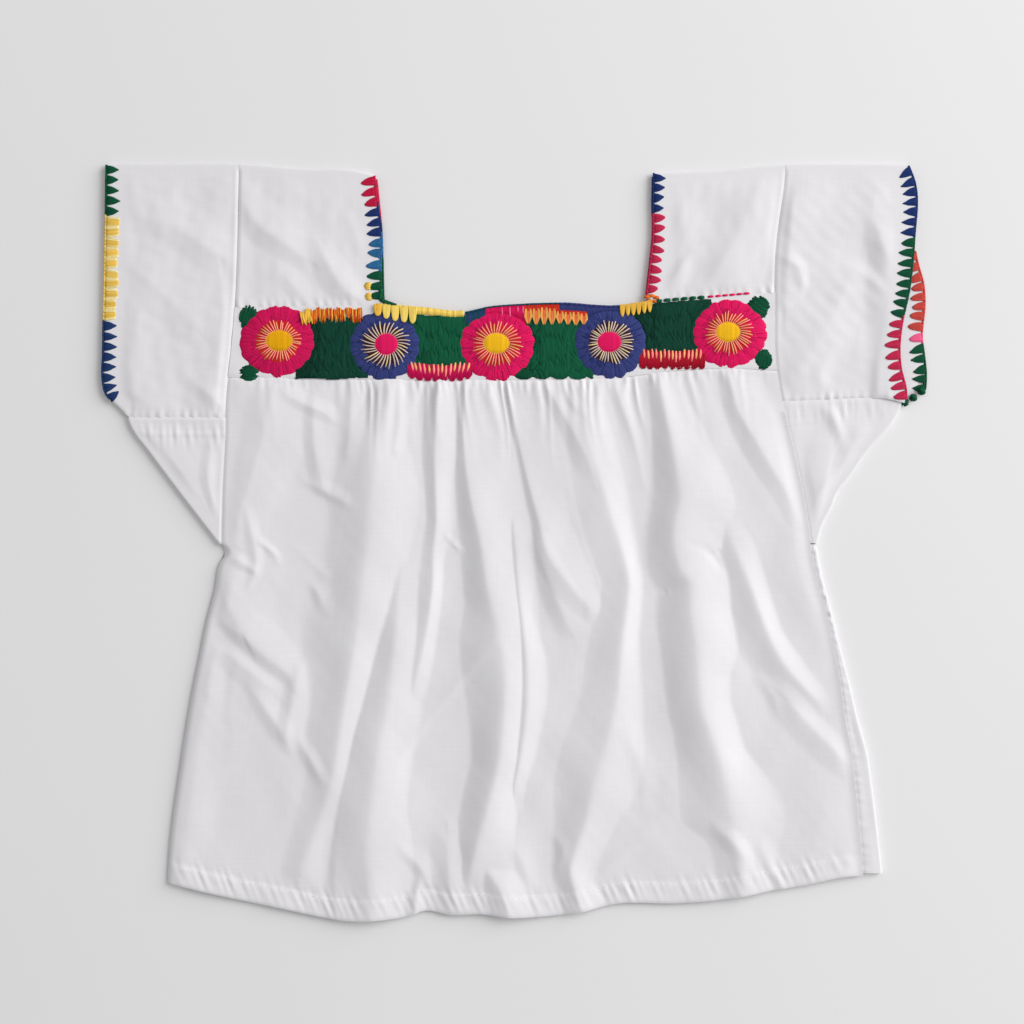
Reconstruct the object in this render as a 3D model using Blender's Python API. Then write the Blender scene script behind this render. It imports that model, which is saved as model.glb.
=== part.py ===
# A small child's cotton blouse with an embroidered yoke, laid flat with its front up.
# Frame: metres, +X to the viewer's right, +Y towards the shoulders, +Z up.
# The origin is on the surface that the blouse lies on, under the middle of its box.

import math
from collections import namedtuple

import bmesh
import bpy
import numpy as np

MM = 0.001

# Layers, in millimetres
CLOTH = 1.0
LAYER_GAP = 0.4
SEAM_GAP = 0.3
TRIM_GAP = 0.3
FRONT_INSIDE = CLOTH + LAYER_GAP
FRONT_TOP = FRONT_INSIDE + CLOTH
FOLD_RADIUS = FRONT_TOP / 2
FOLD_INSIDE_RADIUS = LAYER_GAP / 2
INSIDE_FOLLOWS = 0.62

# Edges that run down the blouse, as rows of (y, x) from the shoulders to the hem
CUFF_LEFT = [(174, -187.2), (140, -187.7), (110, -188.3), (86, -188.8), (74, -188.9),
             (68, -187.4), (64.5, -184.8)]
CUFF_RIGHT_FRONT = [(174, 179.8), (167, 182.6), (139, 182.6), (116, 180.3), (98, 176.6),
                    (88, 175.8), (79, 176.6), (70, 178.8), (63, 178.9)]
CUFF_RIGHT_BACK = [(174, 179.8), (167, 182.6), (139, 182.9), (128, 184.9), (119, 187.4),
                   (111, 188), (94, 186.8), (84, 188), (75, 188.6), (69, 187.6), (63, 181.5)]
ARMHOLE_LEFT = [(174, -126.8), (135, -127.7), (112, -128.6), (88, -130.5), (66, -132.8),
                (48, -133.2), (28, -134.2), (-1.5, -135)]
ARMHOLE_RIGHT = [(174, 124.5), (162, 123.5), (153, 122.2), (139, 120.3), (125, 119.4),
                 (111, 119.4), (79, 120.3), (63, 123.1), (47, 126.8), (33, 130), (19, 132.8),
                 (5, 135.1), (-1.5, 136.2)]
SIDE_LEFT = [(-1.5, -134.4), (-5, -132.8), (-8.5, -135.2), (-22, -138.3), (-36, -142),
             (-52, -145.2), (-68, -148.4), (-87, -151.7), (-105, -154.4), (-124, -157.2),
             (-140, -159), (-157, -160)]
SIDE_RIGHT = [(-1.5, 138.3), (-18, 141.6), (-31, 145.2), (-50, 149.8), (-64, 153.5), (-82, 157.7),
              (-97, 161.8), (-110, 163.7), (-128, 166), (-153, 168.7)]
SIDE_STRIP = [(-1.5, 2.9), (-45, 3.2), (-96, 7.4), (-151, 9.2)]
GUSSET_FOLD_LEFT = [(58, -178.6), (54, -177.2), (41.5, -168.3), (26, -156.7), (11, -145.2),
                    (-1, -135.9)]
GUSSET_FOLD_RIGHT = [(63, 178), (54, 172.9), (44, 163.7), (31, 154.4), (24, 148.9), (17, 146.1),
                     (8, 141.5), (-1, 139.1)]
NECK_LEFT_FRONT = [(170, -65.4), (158, -64.2), (144, -62.2), (136, -61.8), (130, -62.3),
                   (112, -61.9)]
NECK_LEFT_BACK = [(170, -65), (158, -63.7), (144, -62.4), (131, -61.9), (112, -61.4)]
NECK_RIGHT = [(170, 64.4), (158, 64.1), (139, 64.1), (130, 63.1), (114, 61.3)]

# Edges that run across the blouse, as rows of (x, y) from left to right
SHOULDER_LEFT = [(-189, 173.8), (-156, 174), (-126, 173.9), (-99, 171.6), (-71, 170.2),
                 (-64, 168.4)]
SHOULDER_RIGHT = [(64, 169.6), (94, 170.8), (124, 173.6), (152, 173.9), (184, 173.6)]
SLEEVE_END_LEFT = [(-189, 65), (-185, 64.5), (-181, 61), (-177.4, 57.5), (-174, 57.2), (-160, 57.2),
                   (-132, 57.2)]
SLEEVE_END_RIGHT = [(120, 64.3), (140, 65), (158, 65.8), (170, 65.8), (179, 63.8), (189, 62.8)]
BAND_TOP = [(-130, 108), (-60, 108), (-42, 106.4), (-24, 104.9), (-12, 107.4), (2, 108.6),
            (21, 109.2), (48, 108), (62, 110), (90, 112.4), (120, 115)]
BAND_BOTTOM = [(-134, 75.6), (-76, 74.8), (-60, 74.5), (-8, 74.1), (20, 74.2), (44, 75.0),
               (62, 77.2), (80, 79.2), (98, 79.7), (124, 78.6)]
BAND_BOTTOM_BACK = [(-134, 75.6), (124, 77.6)]
HEM_FRONT = [(-161, -156.1), (-145, -160.4), (-122, -165.5), (-106, -168.7), (-90, -172.2),
             (-77, -174), (-62, -173.6), (-47, -171.4), (-42, -169.6), (-30, -171.4), (-16, -171),
             (-2, -172.4), (16, -171.8), (28, -170.4), (46, -166.4), (76, -166), (99, -163.7),
             (118, -160.2), (131, -158.1), (150, -154.2), (170, -152.6)]
HEM_BACK = [(-160, -155.3), (-145, -159), (-106, -167), (-77, -171.6), (-42, -168), (-2, -170),
            (46, -164.6), (99, -161.8), (131, -156.8), (150, -153.4), (169, -152)]

# The back panel's turned edge on the right: its width underneath, and where it ends at the hem
TURNED_WIDTH = 4.0
TURNED_START = -4.0
TURNED_END = -151.6
TURNED_ROWS = 15

# Gathers under the embroidered band
GATHERS = 36
COLUMNS_IN_A_GATHER = 3
GATHER_CROWDING = 0.2
GATHER_UNEVENNESS = 0.16
GATHER_UNEVEN_WAVES = (14, 22)
GATHER_HEIGHT = 1.3
GATHER_FADE = [(0, 0.55), (3, 1), (11, 0.85), (18, 0.55), (28, 0.25), (45, 0)]
GATHER_STRENGTH = [(-132, 0.25), (-80, 0.6), (-70, 1), (78, 1), (90, 0.6), (122, 0.3)]

# Rows of the front body: distances below the band, then distances above the hem
ROWS_BELOW_BAND = [0, 3, 7, 12, 19, 29, 46, 63, 80, 97, 114, 131, 148, 165]
ROWS_ABOVE_HEM = [62, 44, 26, 12, 9, 7, 2, 0]
HEM_RAISE = [(0, 0.1), (2, 0.5), (7, 0.5), (9, -0.15), (12, 0)]
HIGHEST_FOLD = 5.2
FOLD_END = 0.16
CREST_STEPS = 6

# How far from each edge of a piece its folds reach their height: start and end of the rise
BODY_FADE_SIDES = (0, 9)
BODY_FADE_BAND = (0, 30)
FOLDS_AT_BAND = 0.35
SLEEVE_FADES = {"fold": (0, 14), "cuff": (9, 24), "seam": (0, 8), "end": (0, 8)}
STRAP_FADES = {"fold": (0, 10), "band": (4, 14), "neck": (8, 18), "seam": (0, 7)}
GUSSET_FADES = {"fold": (0, 6), "seam": (0, 4)}

# Grids of the flat pieces: columns across and rows down a layer
SLEEVE_COLUMNS, SLEEVE_ROWS = 13, 9
STRAP_COLUMNS, STRAP_ROWS = 11, 7
GUSSET_COLUMNS, GUSSET_FRONT_ROWS, GUSSET_BACK_ROWS = 9, 8, 5
GUSSET_BOTTOM = -0.6
BAND_COLUMNS, BAND_ROWS = 21, 5
BACK_COLUMNS = 9
BACK_ROWS_ABOVE_GUSSET = np.linspace(0, 0.3, 4)
BACK_ROWS_AT_GUSSET = [0.318, 0.335]
BACK_ROWS_BELOW_GUSSET = np.linspace(0.39, 1, 12)
GRID_PASSES = 16
FOLD_STEPS = 4
SHARP_ANGLE = math.radians(40)

# Folds: height, width of the steep side and of the soft side, and the crest's points (x, y)
Fold = namedtuple("Fold", "height steep soft crest")
BODY_FOLDS = [
    Fold(2.6, 7, 13, [(-58, 78), (-67, 17), (-75, -50), (-83, -100), (-94, -175)]),
    Fold(2.4, 8, 14, [(-36, 78), (-37, 10), (-38, -22), (-49, -73), (-64, -128), (-76, -178)]),
    Fold(4.6, 8, 17, [(-24, 78), (-23, 42), (-12, -8), (-7, -45), (-8, -100), (-20, -150),
                      (-14, -178)]),
    Fold(2.0, 5, 10, [(-5, 78), (2, 36), (10, 5), (4, -18), (6, -50), (0, -119)]),
    Fold(2.6, 6, 13, [(30, 78), (43, 33), (55, -11), (49, -54), (39, -110), (27, -151)]),
    Fold(5.2, 10, 18, [(69, 84), (75, 42), (75, -1), (82, -46), (85, -75), (98, -117),
                       (102, -151), (106, -172)]),
    Fold(2.0, 6, 12, [(99, 84), (113, 52), (128, 31)]),
    Fold(2.2, 6, 12, [(104, 6), (111, -18), (125, -45), (145, -74)]),
    Fold(1.8, 5, 10, [(122, -64), (138, -80), (156, -100)]),
    Fold(1.6, 5, 9, [(17, 78), (28, 52), (40, 26)]),
    Fold(1.4, 4, 8, [(12, 12), (26, -13), (33, -36)]),
    Fold(2.2, 8, 8, [(90, -86), (107, -110), (118, -126), (132, -150)]),
    Fold(1.6, 5, 8, [(-139, -40), (-123, -52), (-102, -62)]),
    Fold(1.3, 5, 7, [(-106, -92), (-86, -112)]),
    Fold(1.4, 5, 9, [(-8, -43), (-27, -66), (-45, -89), (-56, -103)]),
]
STRAP_LEFT_FOLDS = [Fold(1.3, 8, 15, [(-124, 160), (-105, 140), (-85, 122), (-70, 112)])]
STRAP_RIGHT_FOLDS = [Fold(1.6, 8, 14, [(106, 166), (96, 148), (76, 114)])]
SLEEVE_LEFT_FOLDS = [
    Fold(1.2, 10, 12, [(-182, 140), (-160, 142), (-136, 132)]),
    Fold(1.1, 9, 14, [(-176, 112), (-150, 104), (-138, 78)]),
]
SLEEVE_RIGHT_FOLDS = [
    Fold(1.8, 8, 11, [(157, 120), (146, 98), (130, 76)]),
    Fold(1.2, 7, 9, [(166, 150), (172, 128), (170, 110)]),
    Fold(1.2, 7, 9, [(126, 134), (148, 126), (168, 112)]),
]
GUSSET_LEFT_FOLDS = [Fold(0.8, 6, 8, [(-166, 50), (-150, 32), (-138, 10)])]
GUSSET_RIGHT_FOLDS = [Fold(1.5, 7, 9, [(160, 60), (148, 44), (140, 18)])]
CUFF_RIGHT_LIFT = 1.4
CUFF_RIGHT_LIFT_FROM = (160, 166)
CUFF_RIGHT_LIFT_RUN = (12, 32)

# Embroidery on the band: five flower heads, each (x, y, half width, half height)
FLOWER_HEADS = [(-108.6, 92.4, 18.0, 16.2), (-59.7, 90.8, 17.3, 15.9), (-8.3, 90.9, 18.4, 16.3),
                (43.8, 91.9, 17.4, 16.3), (98.2, 96.0, 17.8, 15.7)]
PETALS = 17
PETAL_NOTCH = 0.045
PETALS_FROM = 0.5
FILL_HEIGHT = 0.45

# Rings of a flower head from its underside to its heart: reach, height and groove between petals
FLOWER_RINGS = [(1.0, 0, 0), (1.0, 0.5, 0), (0.72, 0.95, 0.10), (0.40, 0.7, 0), (0.30, 0.95, 0)]

# Leaf fills between two flower heads: bottom and top edge, and waves along the bottom
Fill = namedtuple("Fill", "bottom top waves")
LEAF_FILLS = [Fill(76.4, 101.4, 0), Fill(82.6, 101.0, 0), Fill(77.0, 98.0, 4), Fill(88.8, 106.6, 0)]
LEAF_SIDE_STEPS = 7
LEAF_LEAST_REACH = 0.45
LEAF_WAVE = 1.2
CORNER_LEAF_SIDES = 12
CORNER_LEAF_POINT = 1.05
CORNER_LEAVES = [(-124.2, 104.8, 2.2, 2.8), (-124.6, 78.8, 2.5, 2.7), (113.1, 110.0, 2.8, 3.1),
                 (114.7, 83.8, 2.6, 3.0)]

# Toothed borders: tooth pitch, depth of a tooth and of its root, thickness and overhang
TOOTH_PITCH = 4.75
TOOTH_DEPTH = 6.6
TOOTH_ROOT = 1.2
TRIM_THICKNESS = 0.7
EDGE_OVERHANG = 0.9
RIM_WIDTH = 1.1
RIM_STATIONS = 15

# Where each border and rim starts and ends down the blouse
BORDER_CUFF_LEFT = (172.6, 66.5)
BORDER_CUFF_RIGHT = (172.2, 66.5)
BORDER_CUFF_RIGHT_INSIDE = (133, 70)
BORDER_NECK_LEFT = (167.5, 110)
BORDER_NECK_RIGHT = (168.6, 113)
RIM_CUFF_LEFT = (171, 68)
RIM_NECK_LEFT = (166, 111)
RIM_NECK_RIGHT = (167, 114)

# Rows of pointed stitches on the band, each with the height of the line that it hangs from;
# None is the neckline
Fringe = namedtuple("Fringe", "name start end top depth thread")
FRINGES = [
    Fringe("fringe_1", -93, -74, 107.6, 5.6, "orange"),
    Fringe("fringe_2", -46, -26, None, 3.4, "yellow"),
    Fringe("fringe_3", 8.4, 28, None, 8.0, "red"),
    Fringe("scallops_1", -44, -25, 82.2, 5.6, "red"),
    Fringe("scallops_2", 61.6, 81.6, 88.2, 7.6, "red"),
]
FRINGE_PITCH = 3.2
FRINGE_OVER_NECKLINE = 0.2

WHITE = (0.80, 0.80, 0.81)
GREEN = (0.012, 0.10, 0.055)
MAGENTA = (0.52, 0.018, 0.075)
NAVY = (0.04, 0.05, 0.16)
YELLOW = (0.68, 0.38, 0.03)
ORANGE = (0.55, 0.17, 0.03)
RED = (0.48, 0.03, 0.08)
BLUE = (0.07, 0.14, 0.30)
COTTON_ROUGHNESS = 0.9
SATIN_ROUGHNESS = 0.6


# Shape tools

def curve(rows):
    # A smooth curve through the rows, which hold the parameter and the value
    ordered = sorted(rows)
    at = np.array([row[0] for row in ordered], float)
    value = np.array([row[1] for row in ordered], float)
    slope = np.gradient(value, at) if len(at) > 2 else np.full(2, np.diff(value)[0] / np.diff(at)[0])

    def point(t):
        t = np.clip(t, at[0], at[-1])
        k = np.clip(np.searchsorted(at, t) - 1, 0, len(at) - 2)
        span = at[k + 1] - at[k]
        s = (t - at[k]) / span
        start = (1 + 2 * s) * (1 - s) ** 2 * value[k] + s * (1 - s) ** 2 * span * slope[k]
        end = s * s * (3 - 2 * s) * value[k + 1] + s * s * (s - 1) * span * slope[k + 1]
        return start + end

    return point


def evenly(count):
    return np.linspace(0, 1, count)


def smooth_step(value, start, end):
    s = np.clip((value - start) / (end - start), 0, 1)
    return s * s * (3 - 2 * s)


def fold_height(x, y, folds):
    # The height that the folds add over the plan points, steep on the left of each crest
    total = np.zeros(np.shape(x))
    for fold in folds:
        crest = np.array(fold.crest, float)
        knots = evenly(len(crest))
        steps = evenly(CREST_STEPS * len(crest))
        line_x = curve(list(zip(knots, crest[:, 0])))(steps)
        line_y = curve(list(zip(knots, crest[:, 1])))(steps)
        nearest = np.full(np.shape(x), np.inf)
        side = np.zeros(np.shape(x))
        along = np.zeros(np.shape(x))
        for k in range(len(steps) - 1):
            dx, dy = line_x[k + 1] - line_x[k], line_y[k + 1] - line_y[k]
            s = np.clip(((x - line_x[k]) * dx + (y - line_y[k]) * dy) / (dx * dx + dy * dy), 0, 1)
            off_x, off_y = x - line_x[k] - s * dx, y - line_y[k] - s * dy
            distance = np.hypot(off_x, off_y)
            closer = distance < nearest
            nearest = np.where(closer, distance, nearest)
            side = np.where(closer, dx * off_y - dy * off_x, side)
            along = np.where(closer, (k + s) / (len(steps) - 1), along)
        width = np.where(side > 0, fold.soft, fold.steep)
        profile = 0.5 + 0.5 * np.cos(math.pi * np.clip(nearest / width, 0, 1))
        ends = smooth_step(along, 0, FOLD_END) * smooth_step(1 - along, 0, FOLD_END)
        total = total + fold.height * profile * ends
    return total


def plan_grid(left, right, top, bottom, across, down):
    # Plan points between four edges: left and right give x at a y, top and bottom give y at an x
    u, v = np.meshgrid(across, down)
    x = np.zeros(u.shape)
    for _ in range(GRID_PASSES):
        y = (1 - v) * top(x) + v * bottom(x)
        x = (1 - u) * left(y) + u * right(y)
    return x, y


def shifted(edge, offset):
    return lambda t: edge(t) + offset


def fabric(name, colour, roughness=COTTON_ROUGHNESS):
    material = bpy.data.materials.new(name)
    material.use_nodes = True
    shader = material.node_tree.nodes["Principled BSDF"]
    shader.inputs["Base Color"].default_value = (*colour, 1)
    shader.inputs["Roughness"].default_value = roughness
    shader.inputs["Metallic"].default_value = 0
    material.diffuse_color = (*colour, 1)
    return material


def finish(name, bm, material):
    # Turns the faces outward and makes the object, with its sizes in metres
    bmesh.ops.triangulate(bm, faces=bm.faces[:])
    bmesh.ops.recalc_face_normals(bm, faces=bm.faces[:])
    bmesh.ops.scale(bm, vec=(MM, MM, MM), verts=bm.verts[:])
    mesh = bpy.data.meshes.new(name)
    bm.to_mesh(mesh)
    bm.free()
    mesh.materials.append(material)
    mesh.shade_smooth()
    mesh.set_sharp_from_angle(angle=SHARP_ANGLE)
    thing = bpy.data.objects.new(name, mesh)
    bpy.context.scene.collection.objects.link(thing)
    return thing


def rim_of(rows, columns):
    # The grid places round the border of a grid, in order
    top = [(0, j) for j in range(columns - 1)]
    right = [(i, columns - 1) for i in range(rows - 1)]
    bottom = [(rows - 1, j) for j in range(columns - 1, 0, -1)]
    left = [(i, 0) for i in range(rows - 1, 0, -1)]
    return top + right + bottom + left


def wall(name, outer, inner, material, column_step=1):
    # A closed cloth wall between two grids of points; the inner grid may have fewer columns
    bm = bmesh.new()
    outer_verts = [[bm.verts.new(p) for p in row] for row in np.moveaxis(np.array(outer), 0, -1)]
    inner_verts = [[bm.verts.new(p) for p in row] for row in np.moveaxis(np.array(inner), 0, -1)]
    for grid in (outer_verts, inner_verts):
        for i in range(len(grid) - 1):
            for j in range(len(grid[0]) - 1):
                bm.faces.new((grid[i][j], grid[i][j + 1], grid[i + 1][j + 1], grid[i + 1][j]))
    outer_rim = rim_of(len(outer_verts), len(outer_verts[0]))
    inner_rim = rim_of(len(inner_verts), len(inner_verts[0]))
    for start, end in zip(inner_rim, inner_rim[1:] + inner_rim[:1]):
        place = outer_rim.index((start[0], start[1] * column_step))
        last = (end[0], end[1] * column_step)
        along = [outer_rim[place]]
        while along[-1] != last:
            place = (place + 1) % len(outer_rim)
            along.append(outer_rim[place])
        corners = [outer_verts[i][j] for i, j in along]
        bm.faces.new((*corners, inner_verts[end[0]][end[1]], inner_verts[start[0]][start[1]]))
    return finish(name, bm, material)


def flat_wall(name, plan, low, high, material):
    x, y = plan
    return wall(name, (x, y, np.full(x.shape, high)), (x, y, np.full(x.shape, low)), material)


def folded_wall(name, front, back, lift, outward, material):
    # Cloth folded flat: both plan grids start at the fold and run to a free edge, and outward
    # is the plan direction of the fold
    outer, inner = [], []
    for x, y, h in reversed(list(zip(front[0][1:], front[1][1:], lift[1:]))):
        outer.append((x, y, FRONT_TOP + h))
        inner.append((x, y, FRONT_INSIDE + INSIDE_FOLLOWS * h))
    middle = FRONT_TOP / 2
    for share in evenly(FOLD_STEPS + 1):
        angle = math.pi / 2 - share * math.pi
        reach, rise = math.cos(angle), math.sin(angle)
        x = (1 - share) * front[0][0] + share * back[0][0]
        y = (1 - share) * front[1][0] + share * back[1][0]
        for radius, stations in ((FOLD_RADIUS, outer), (FOLD_INSIDE_RADIUS, inner)):
            stations.append((x + outward[0] * radius * reach, y + outward[1] * radius * reach,
                             np.full(len(x), middle + radius * rise)))
    for x, y in zip(back[0][1:], back[1][1:]):
        outer.append((x, y, np.zeros(len(x))))
        inner.append((x, y, np.full(len(x), CLOTH)))
    return wall(name, np.moveaxis(np.array(outer), 1, 0), np.moveaxis(np.array(inner), 1, 0), material)


def prism(name, plan, low, high, material):
    bm = bmesh.new()
    bottom = [bm.verts.new((x, y, low)) for x, y in plan]
    top = [bm.verts.new((x, y, high)) for x, y in plan]
    bm.faces.new(bottom)
    bm.faces.new(top)
    for k in range(len(plan)):
        after = (k + 1) % len(plan)
        bm.faces.new((bottom[k], bottom[after], top[after], top[k]))
    return finish(name, bm, material)


def border(name, edge, teeth, depth, overhang, base, material):
    # A stitched border with teeth: edge gives the plan point and the inward direction at a share
    # of its length, and base gives the cloth's height at a plan point
    bm = bmesh.new()
    stations = []
    for k in range(2 * teeth + 1):
        (x, y), (inward_x, inward_y) = edge(k / (2 * teeth))
        reach = depth if k % 2 else TOOTH_ROOT
        outer = (x - inward_x * overhang, y - inward_y * overhang)
        inner = (x + inward_x * reach, y + inward_y * reach)
        section = []
        for (px, py), up in ((outer, 0), (outer, 1), (inner, 1), (inner, 0)):
            z = base(px, py) + TRIM_GAP + up * TRIM_THICKNESS
            section.append(bm.verts.new((px, py, z)))
        stations.append(section)
    for first, second in zip(stations, stations[1:]):
        for k in range(4):
            after = (k + 1) % 4
            bm.faces.new((first[k], first[after], second[after], second[k]))
    bm.faces.new(stations[0])
    bm.faces.new(stations[-1])
    return finish(name, bm, material)


def edge_down(rows, start, end, inward_sign):
    # An edge that runs down the blouse between two heights, with its inward side left or right
    x_at = curve(rows)

    def point(share):
        y = start + (end - start) * share
        slope = (x_at(y + 0.5) - x_at(y - 0.5))
        length = math.hypot(1, slope)
        return (x_at(y), y), (inward_sign / length, -inward_sign * slope / length)

    return point


def edge_across(y_at, start, end, inward_sign):
    # An edge that runs across the blouse between two places, with its inward side up or down
    def point(share):
        x = start + (end - start) * share
        return (x, y_at(x)), (0, inward_sign)

    return point


# Pieces of the blouse

def sleeve(name, cuff_front, cuff_back, armhole, shoulder, end, folds, side, material):
    # One rectangle of cloth folded over the shoulder; side is -1 on the left and 1 on the right
    top = shifted(shoulder, -FOLD_RADIUS)
    lower = shifted(end, SEAM_GAP / 2)
    seam = shifted(armhole, side * SEAM_GAP / 2)
    across = evenly(SLEEVE_COLUMNS)

    def layer(cuff, down):
        edges = (cuff, seam) if side < 0 else (seam, cuff)
        return plan_grid(*edges, top, lower, across, down)

    front = layer(cuff_front, evenly(SLEEVE_ROWS))
    back = layer(cuff_back, evenly(SLEEVE_ROWS))
    lift = fold_height(*front, folds)
    x, y = front
    lift = lift * smooth_step(top(x) - y, *SLEEVE_FADES["fold"])
    lift = lift * smooth_step(side * (cuff_front(y) - x), *SLEEVE_FADES["cuff"])
    lift = lift * smooth_step(side * (x - armhole(y)), *SLEEVE_FADES["seam"])
    lift = lift * smooth_step(y - lower(x), *SLEEVE_FADES["end"])
    if side > 0:
        lift = lift + right_cuff_lift(x, y)
    return folded_wall(name, front, back, lift, (0, 1), material)


def right_cuff_lift(x, y):
    # The front of the right cuff lies on the border of the back one
    start_x, start_y = CUFF_RIGHT_LIFT_FROM
    run_x, run_y = CUFF_RIGHT_LIFT_RUN
    inward = smooth_step(x, start_x, start_x + run_x)
    return CUFF_RIGHT_LIFT * inward * smooth_step(start_y - y, 0, run_y)


def strap(name, neck_front, neck_back, armhole, shoulder, folds, side, material):
    # A strap from the front band over the shoulder to the back band
    top = shifted(shoulder, -FOLD_RADIUS)
    lower = shifted(curve(BAND_TOP), SEAM_GAP / 2)
    seam = shifted(armhole, -side * SEAM_GAP / 2)
    across = evenly(STRAP_COLUMNS)

    def layer(neck, down):
        edges = (seam, neck) if side < 0 else (neck, seam)
        return plan_grid(*edges, top, lower, across, down)

    front = layer(neck_front, evenly(STRAP_ROWS))
    back = layer(neck_back, evenly(STRAP_ROWS))
    x, y = front
    lift = fold_height(x, y, folds)
    lift = lift * smooth_step(top(x) - y, *STRAP_FADES["fold"])
    lift = lift * smooth_step(y - lower(x), *STRAP_FADES["band"])
    lift = lift * smooth_step(side * (x - neck_front(y)), *STRAP_FADES["neck"])
    lift = lift * smooth_step(side * (armhole(y) - x), *STRAP_FADES["seam"])
    return folded_wall(name, front, back, lift, (0, 1), material)


def gusset(name, fold_line, armhole, top_edge, folds, side, material):
    # A square of cloth folded on its diagonal, under the arm
    top = shifted(top_edge, -SEAM_GAP / 2)
    seam = shifted(armhole, side * SEAM_GAP / 2)
    fold_rows = sorted((row[0], row[1]) for row in fold_line)
    run_y, run_x = fold_rows[-1][0] - fold_rows[0][0], fold_rows[-1][1] - fold_rows[0][1]
    length = math.hypot(run_x, run_y)
    outward = (side * run_y / length, -side * run_x / length)
    edge = curve(fold_line)

    def fold_inset(y):
        return edge(y) - side * FOLD_RADIUS / abs(outward[0])

    def layer(steps):
        left, right = (fold_inset, seam) if side < 0 else (seam, fold_inset)
        share = evenly(steps) if side < 0 else evenly(steps)[::-1]
        x, y = plan_grid(left, right, top, lambda t: GUSSET_BOTTOM, share, evenly(GUSSET_COLUMNS))
        return x.T, y.T

    front, back = layer(GUSSET_FRONT_ROWS), layer(GUSSET_BACK_ROWS)
    x, y = front
    lift = fold_height(x, y, folds)
    lift = lift * smooth_step(side * (fold_inset(y) - x), *GUSSET_FADES["fold"])
    lift = lift * smooth_step(side * (x - armhole(y)), *GUSSET_FADES["seam"])
    return folded_wall(name, front, back, lift, outward, material)


def body_side_left(y):
    upper = curve(ARMHOLE_LEFT)(y) + SEAM_GAP / 2
    return np.where(y > SIDE_LEFT[0][0], upper, curve(SIDE_LEFT)(y))


def body_side_right(y):
    upper = curve(ARMHOLE_RIGHT)(y) - SEAM_GAP / 2
    lower = curve(SIDE_RIGHT)(y) - curve(SIDE_STRIP)(y) - SEAM_GAP / 2
    return np.where(y > SIDE_RIGHT[0][0], np.minimum(upper, lower), lower)


def gather_columns():
    # Where the columns of the front body lie, closer together in the middle of the band
    share = evenly(GATHERS * COLUMNS_IN_A_GATHER + 1)
    crowded = share + GATHER_CROWDING * np.sin(2 * math.pi * share) / (2 * math.pi)
    uneven = sum(np.sin(waves * math.pi * share) / waves for waves in GATHER_UNEVEN_WAVES)
    return share, crowded + GATHER_UNEVENNESS * uneven / math.pi


def front_body(material):
    share, across = gather_columns()
    band_edge = shifted(curve(BAND_BOTTOM), -SEAM_GAP / 2)
    hem = curve(HEM_FRONT)
    full = band_edge(0) - hem(0)
    down = [distance / full for distance in ROWS_BELOW_BAND]
    down += [1 - distance / full for distance in ROWS_ABOVE_HEM if 1 - distance / full > down[-1]]
    x, y = plan_grid(body_side_left, body_side_right, band_edge, hem, across, down)
    wave = 0.5 + 0.5 * np.cos(2 * math.pi * GATHERS * share)
    fade = np.interp(band_edge(x) - y, *zip(*GATHER_FADE))
    gathers = GATHER_HEIGHT * wave * fade * np.interp(x, *zip(*GATHER_STRENGTH))
    below_band = FOLDS_AT_BAND + (1 - FOLDS_AT_BAND) * smooth_step(band_edge(x) - y, *BODY_FADE_BAND)
    folds = fold_height(x, y, BODY_FOLDS) * below_band
    sides = smooth_step(x - body_side_left(y), *BODY_FADE_SIDES)
    sides = sides * smooth_step(body_side_right(y) - x, *BODY_FADE_SIDES)
    lift = HIGHEST_FOLD * np.tanh((folds + gathers) / HIGHEST_FOLD) * sides
    lowest = lift
    for shift in range(-COLUMNS_IN_A_GATHER + 1, COLUMNS_IN_A_GATHER):
        lowest = np.minimum(lowest, np.roll(lift, shift, axis=1))
    hem_raise = np.interp(y - hem(x), *zip(*HEM_RAISE))
    outer = (x, y, FRONT_TOP + lift + hem_raise)
    plain = (slice(None), slice(None, None, COLUMNS_IN_A_GATHER))
    inner = (x[plain], y[plain], FRONT_INSIDE + INSIDE_FOLLOWS * lowest[plain])
    return wall("front_body", outer, inner, material, COLUMNS_IN_A_GATHER)


def back_side_right(y):
    upper = curve(ARMHOLE_RIGHT)(y) - SEAM_GAP / 2
    lower = curve(SIDE_RIGHT)(y) - TURNED_WIDTH - SEAM_GAP
    return np.where(y > SIDE_RIGHT[0][0], np.minimum(upper, lower), lower)


def back_body(material):
    # The flat back panel, under the gathers of the front
    band_edge = shifted(curve(BAND_BOTTOM_BACK), -SEAM_GAP / 2)
    down = np.concatenate([BACK_ROWS_ABOVE_GUSSET, BACK_ROWS_AT_GUSSET, BACK_ROWS_BELOW_GUSSET])
    across = evenly(BACK_COLUMNS)
    plan = plan_grid(body_side_left, back_side_right, band_edge, curve(HEM_BACK), across, down)
    return flat_wall("back_body", plan, 0, CLOTH, material)


def back_body_turned_edge(material):
    # The back panel's right edge, which comes round to the front as far as the side seam
    y = np.linspace(TURNED_START, TURNED_END, TURNED_ROWS)
    side = curve(SIDE_RIGHT)(y)
    fold_x = side - FOLD_RADIUS
    seam_x = side - curve(SIDE_STRIP)(y) + SEAM_GAP
    front = np.array([fold_x, (fold_x + seam_x) / 2, seam_x]), np.array([y, y, y])
    back = np.array([fold_x, side - TURNED_WIDTH]), np.array([y, y])
    return folded_wall("back_body_turned_edge", front, back, np.zeros((3, len(y))), (1, 0), material)


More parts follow.
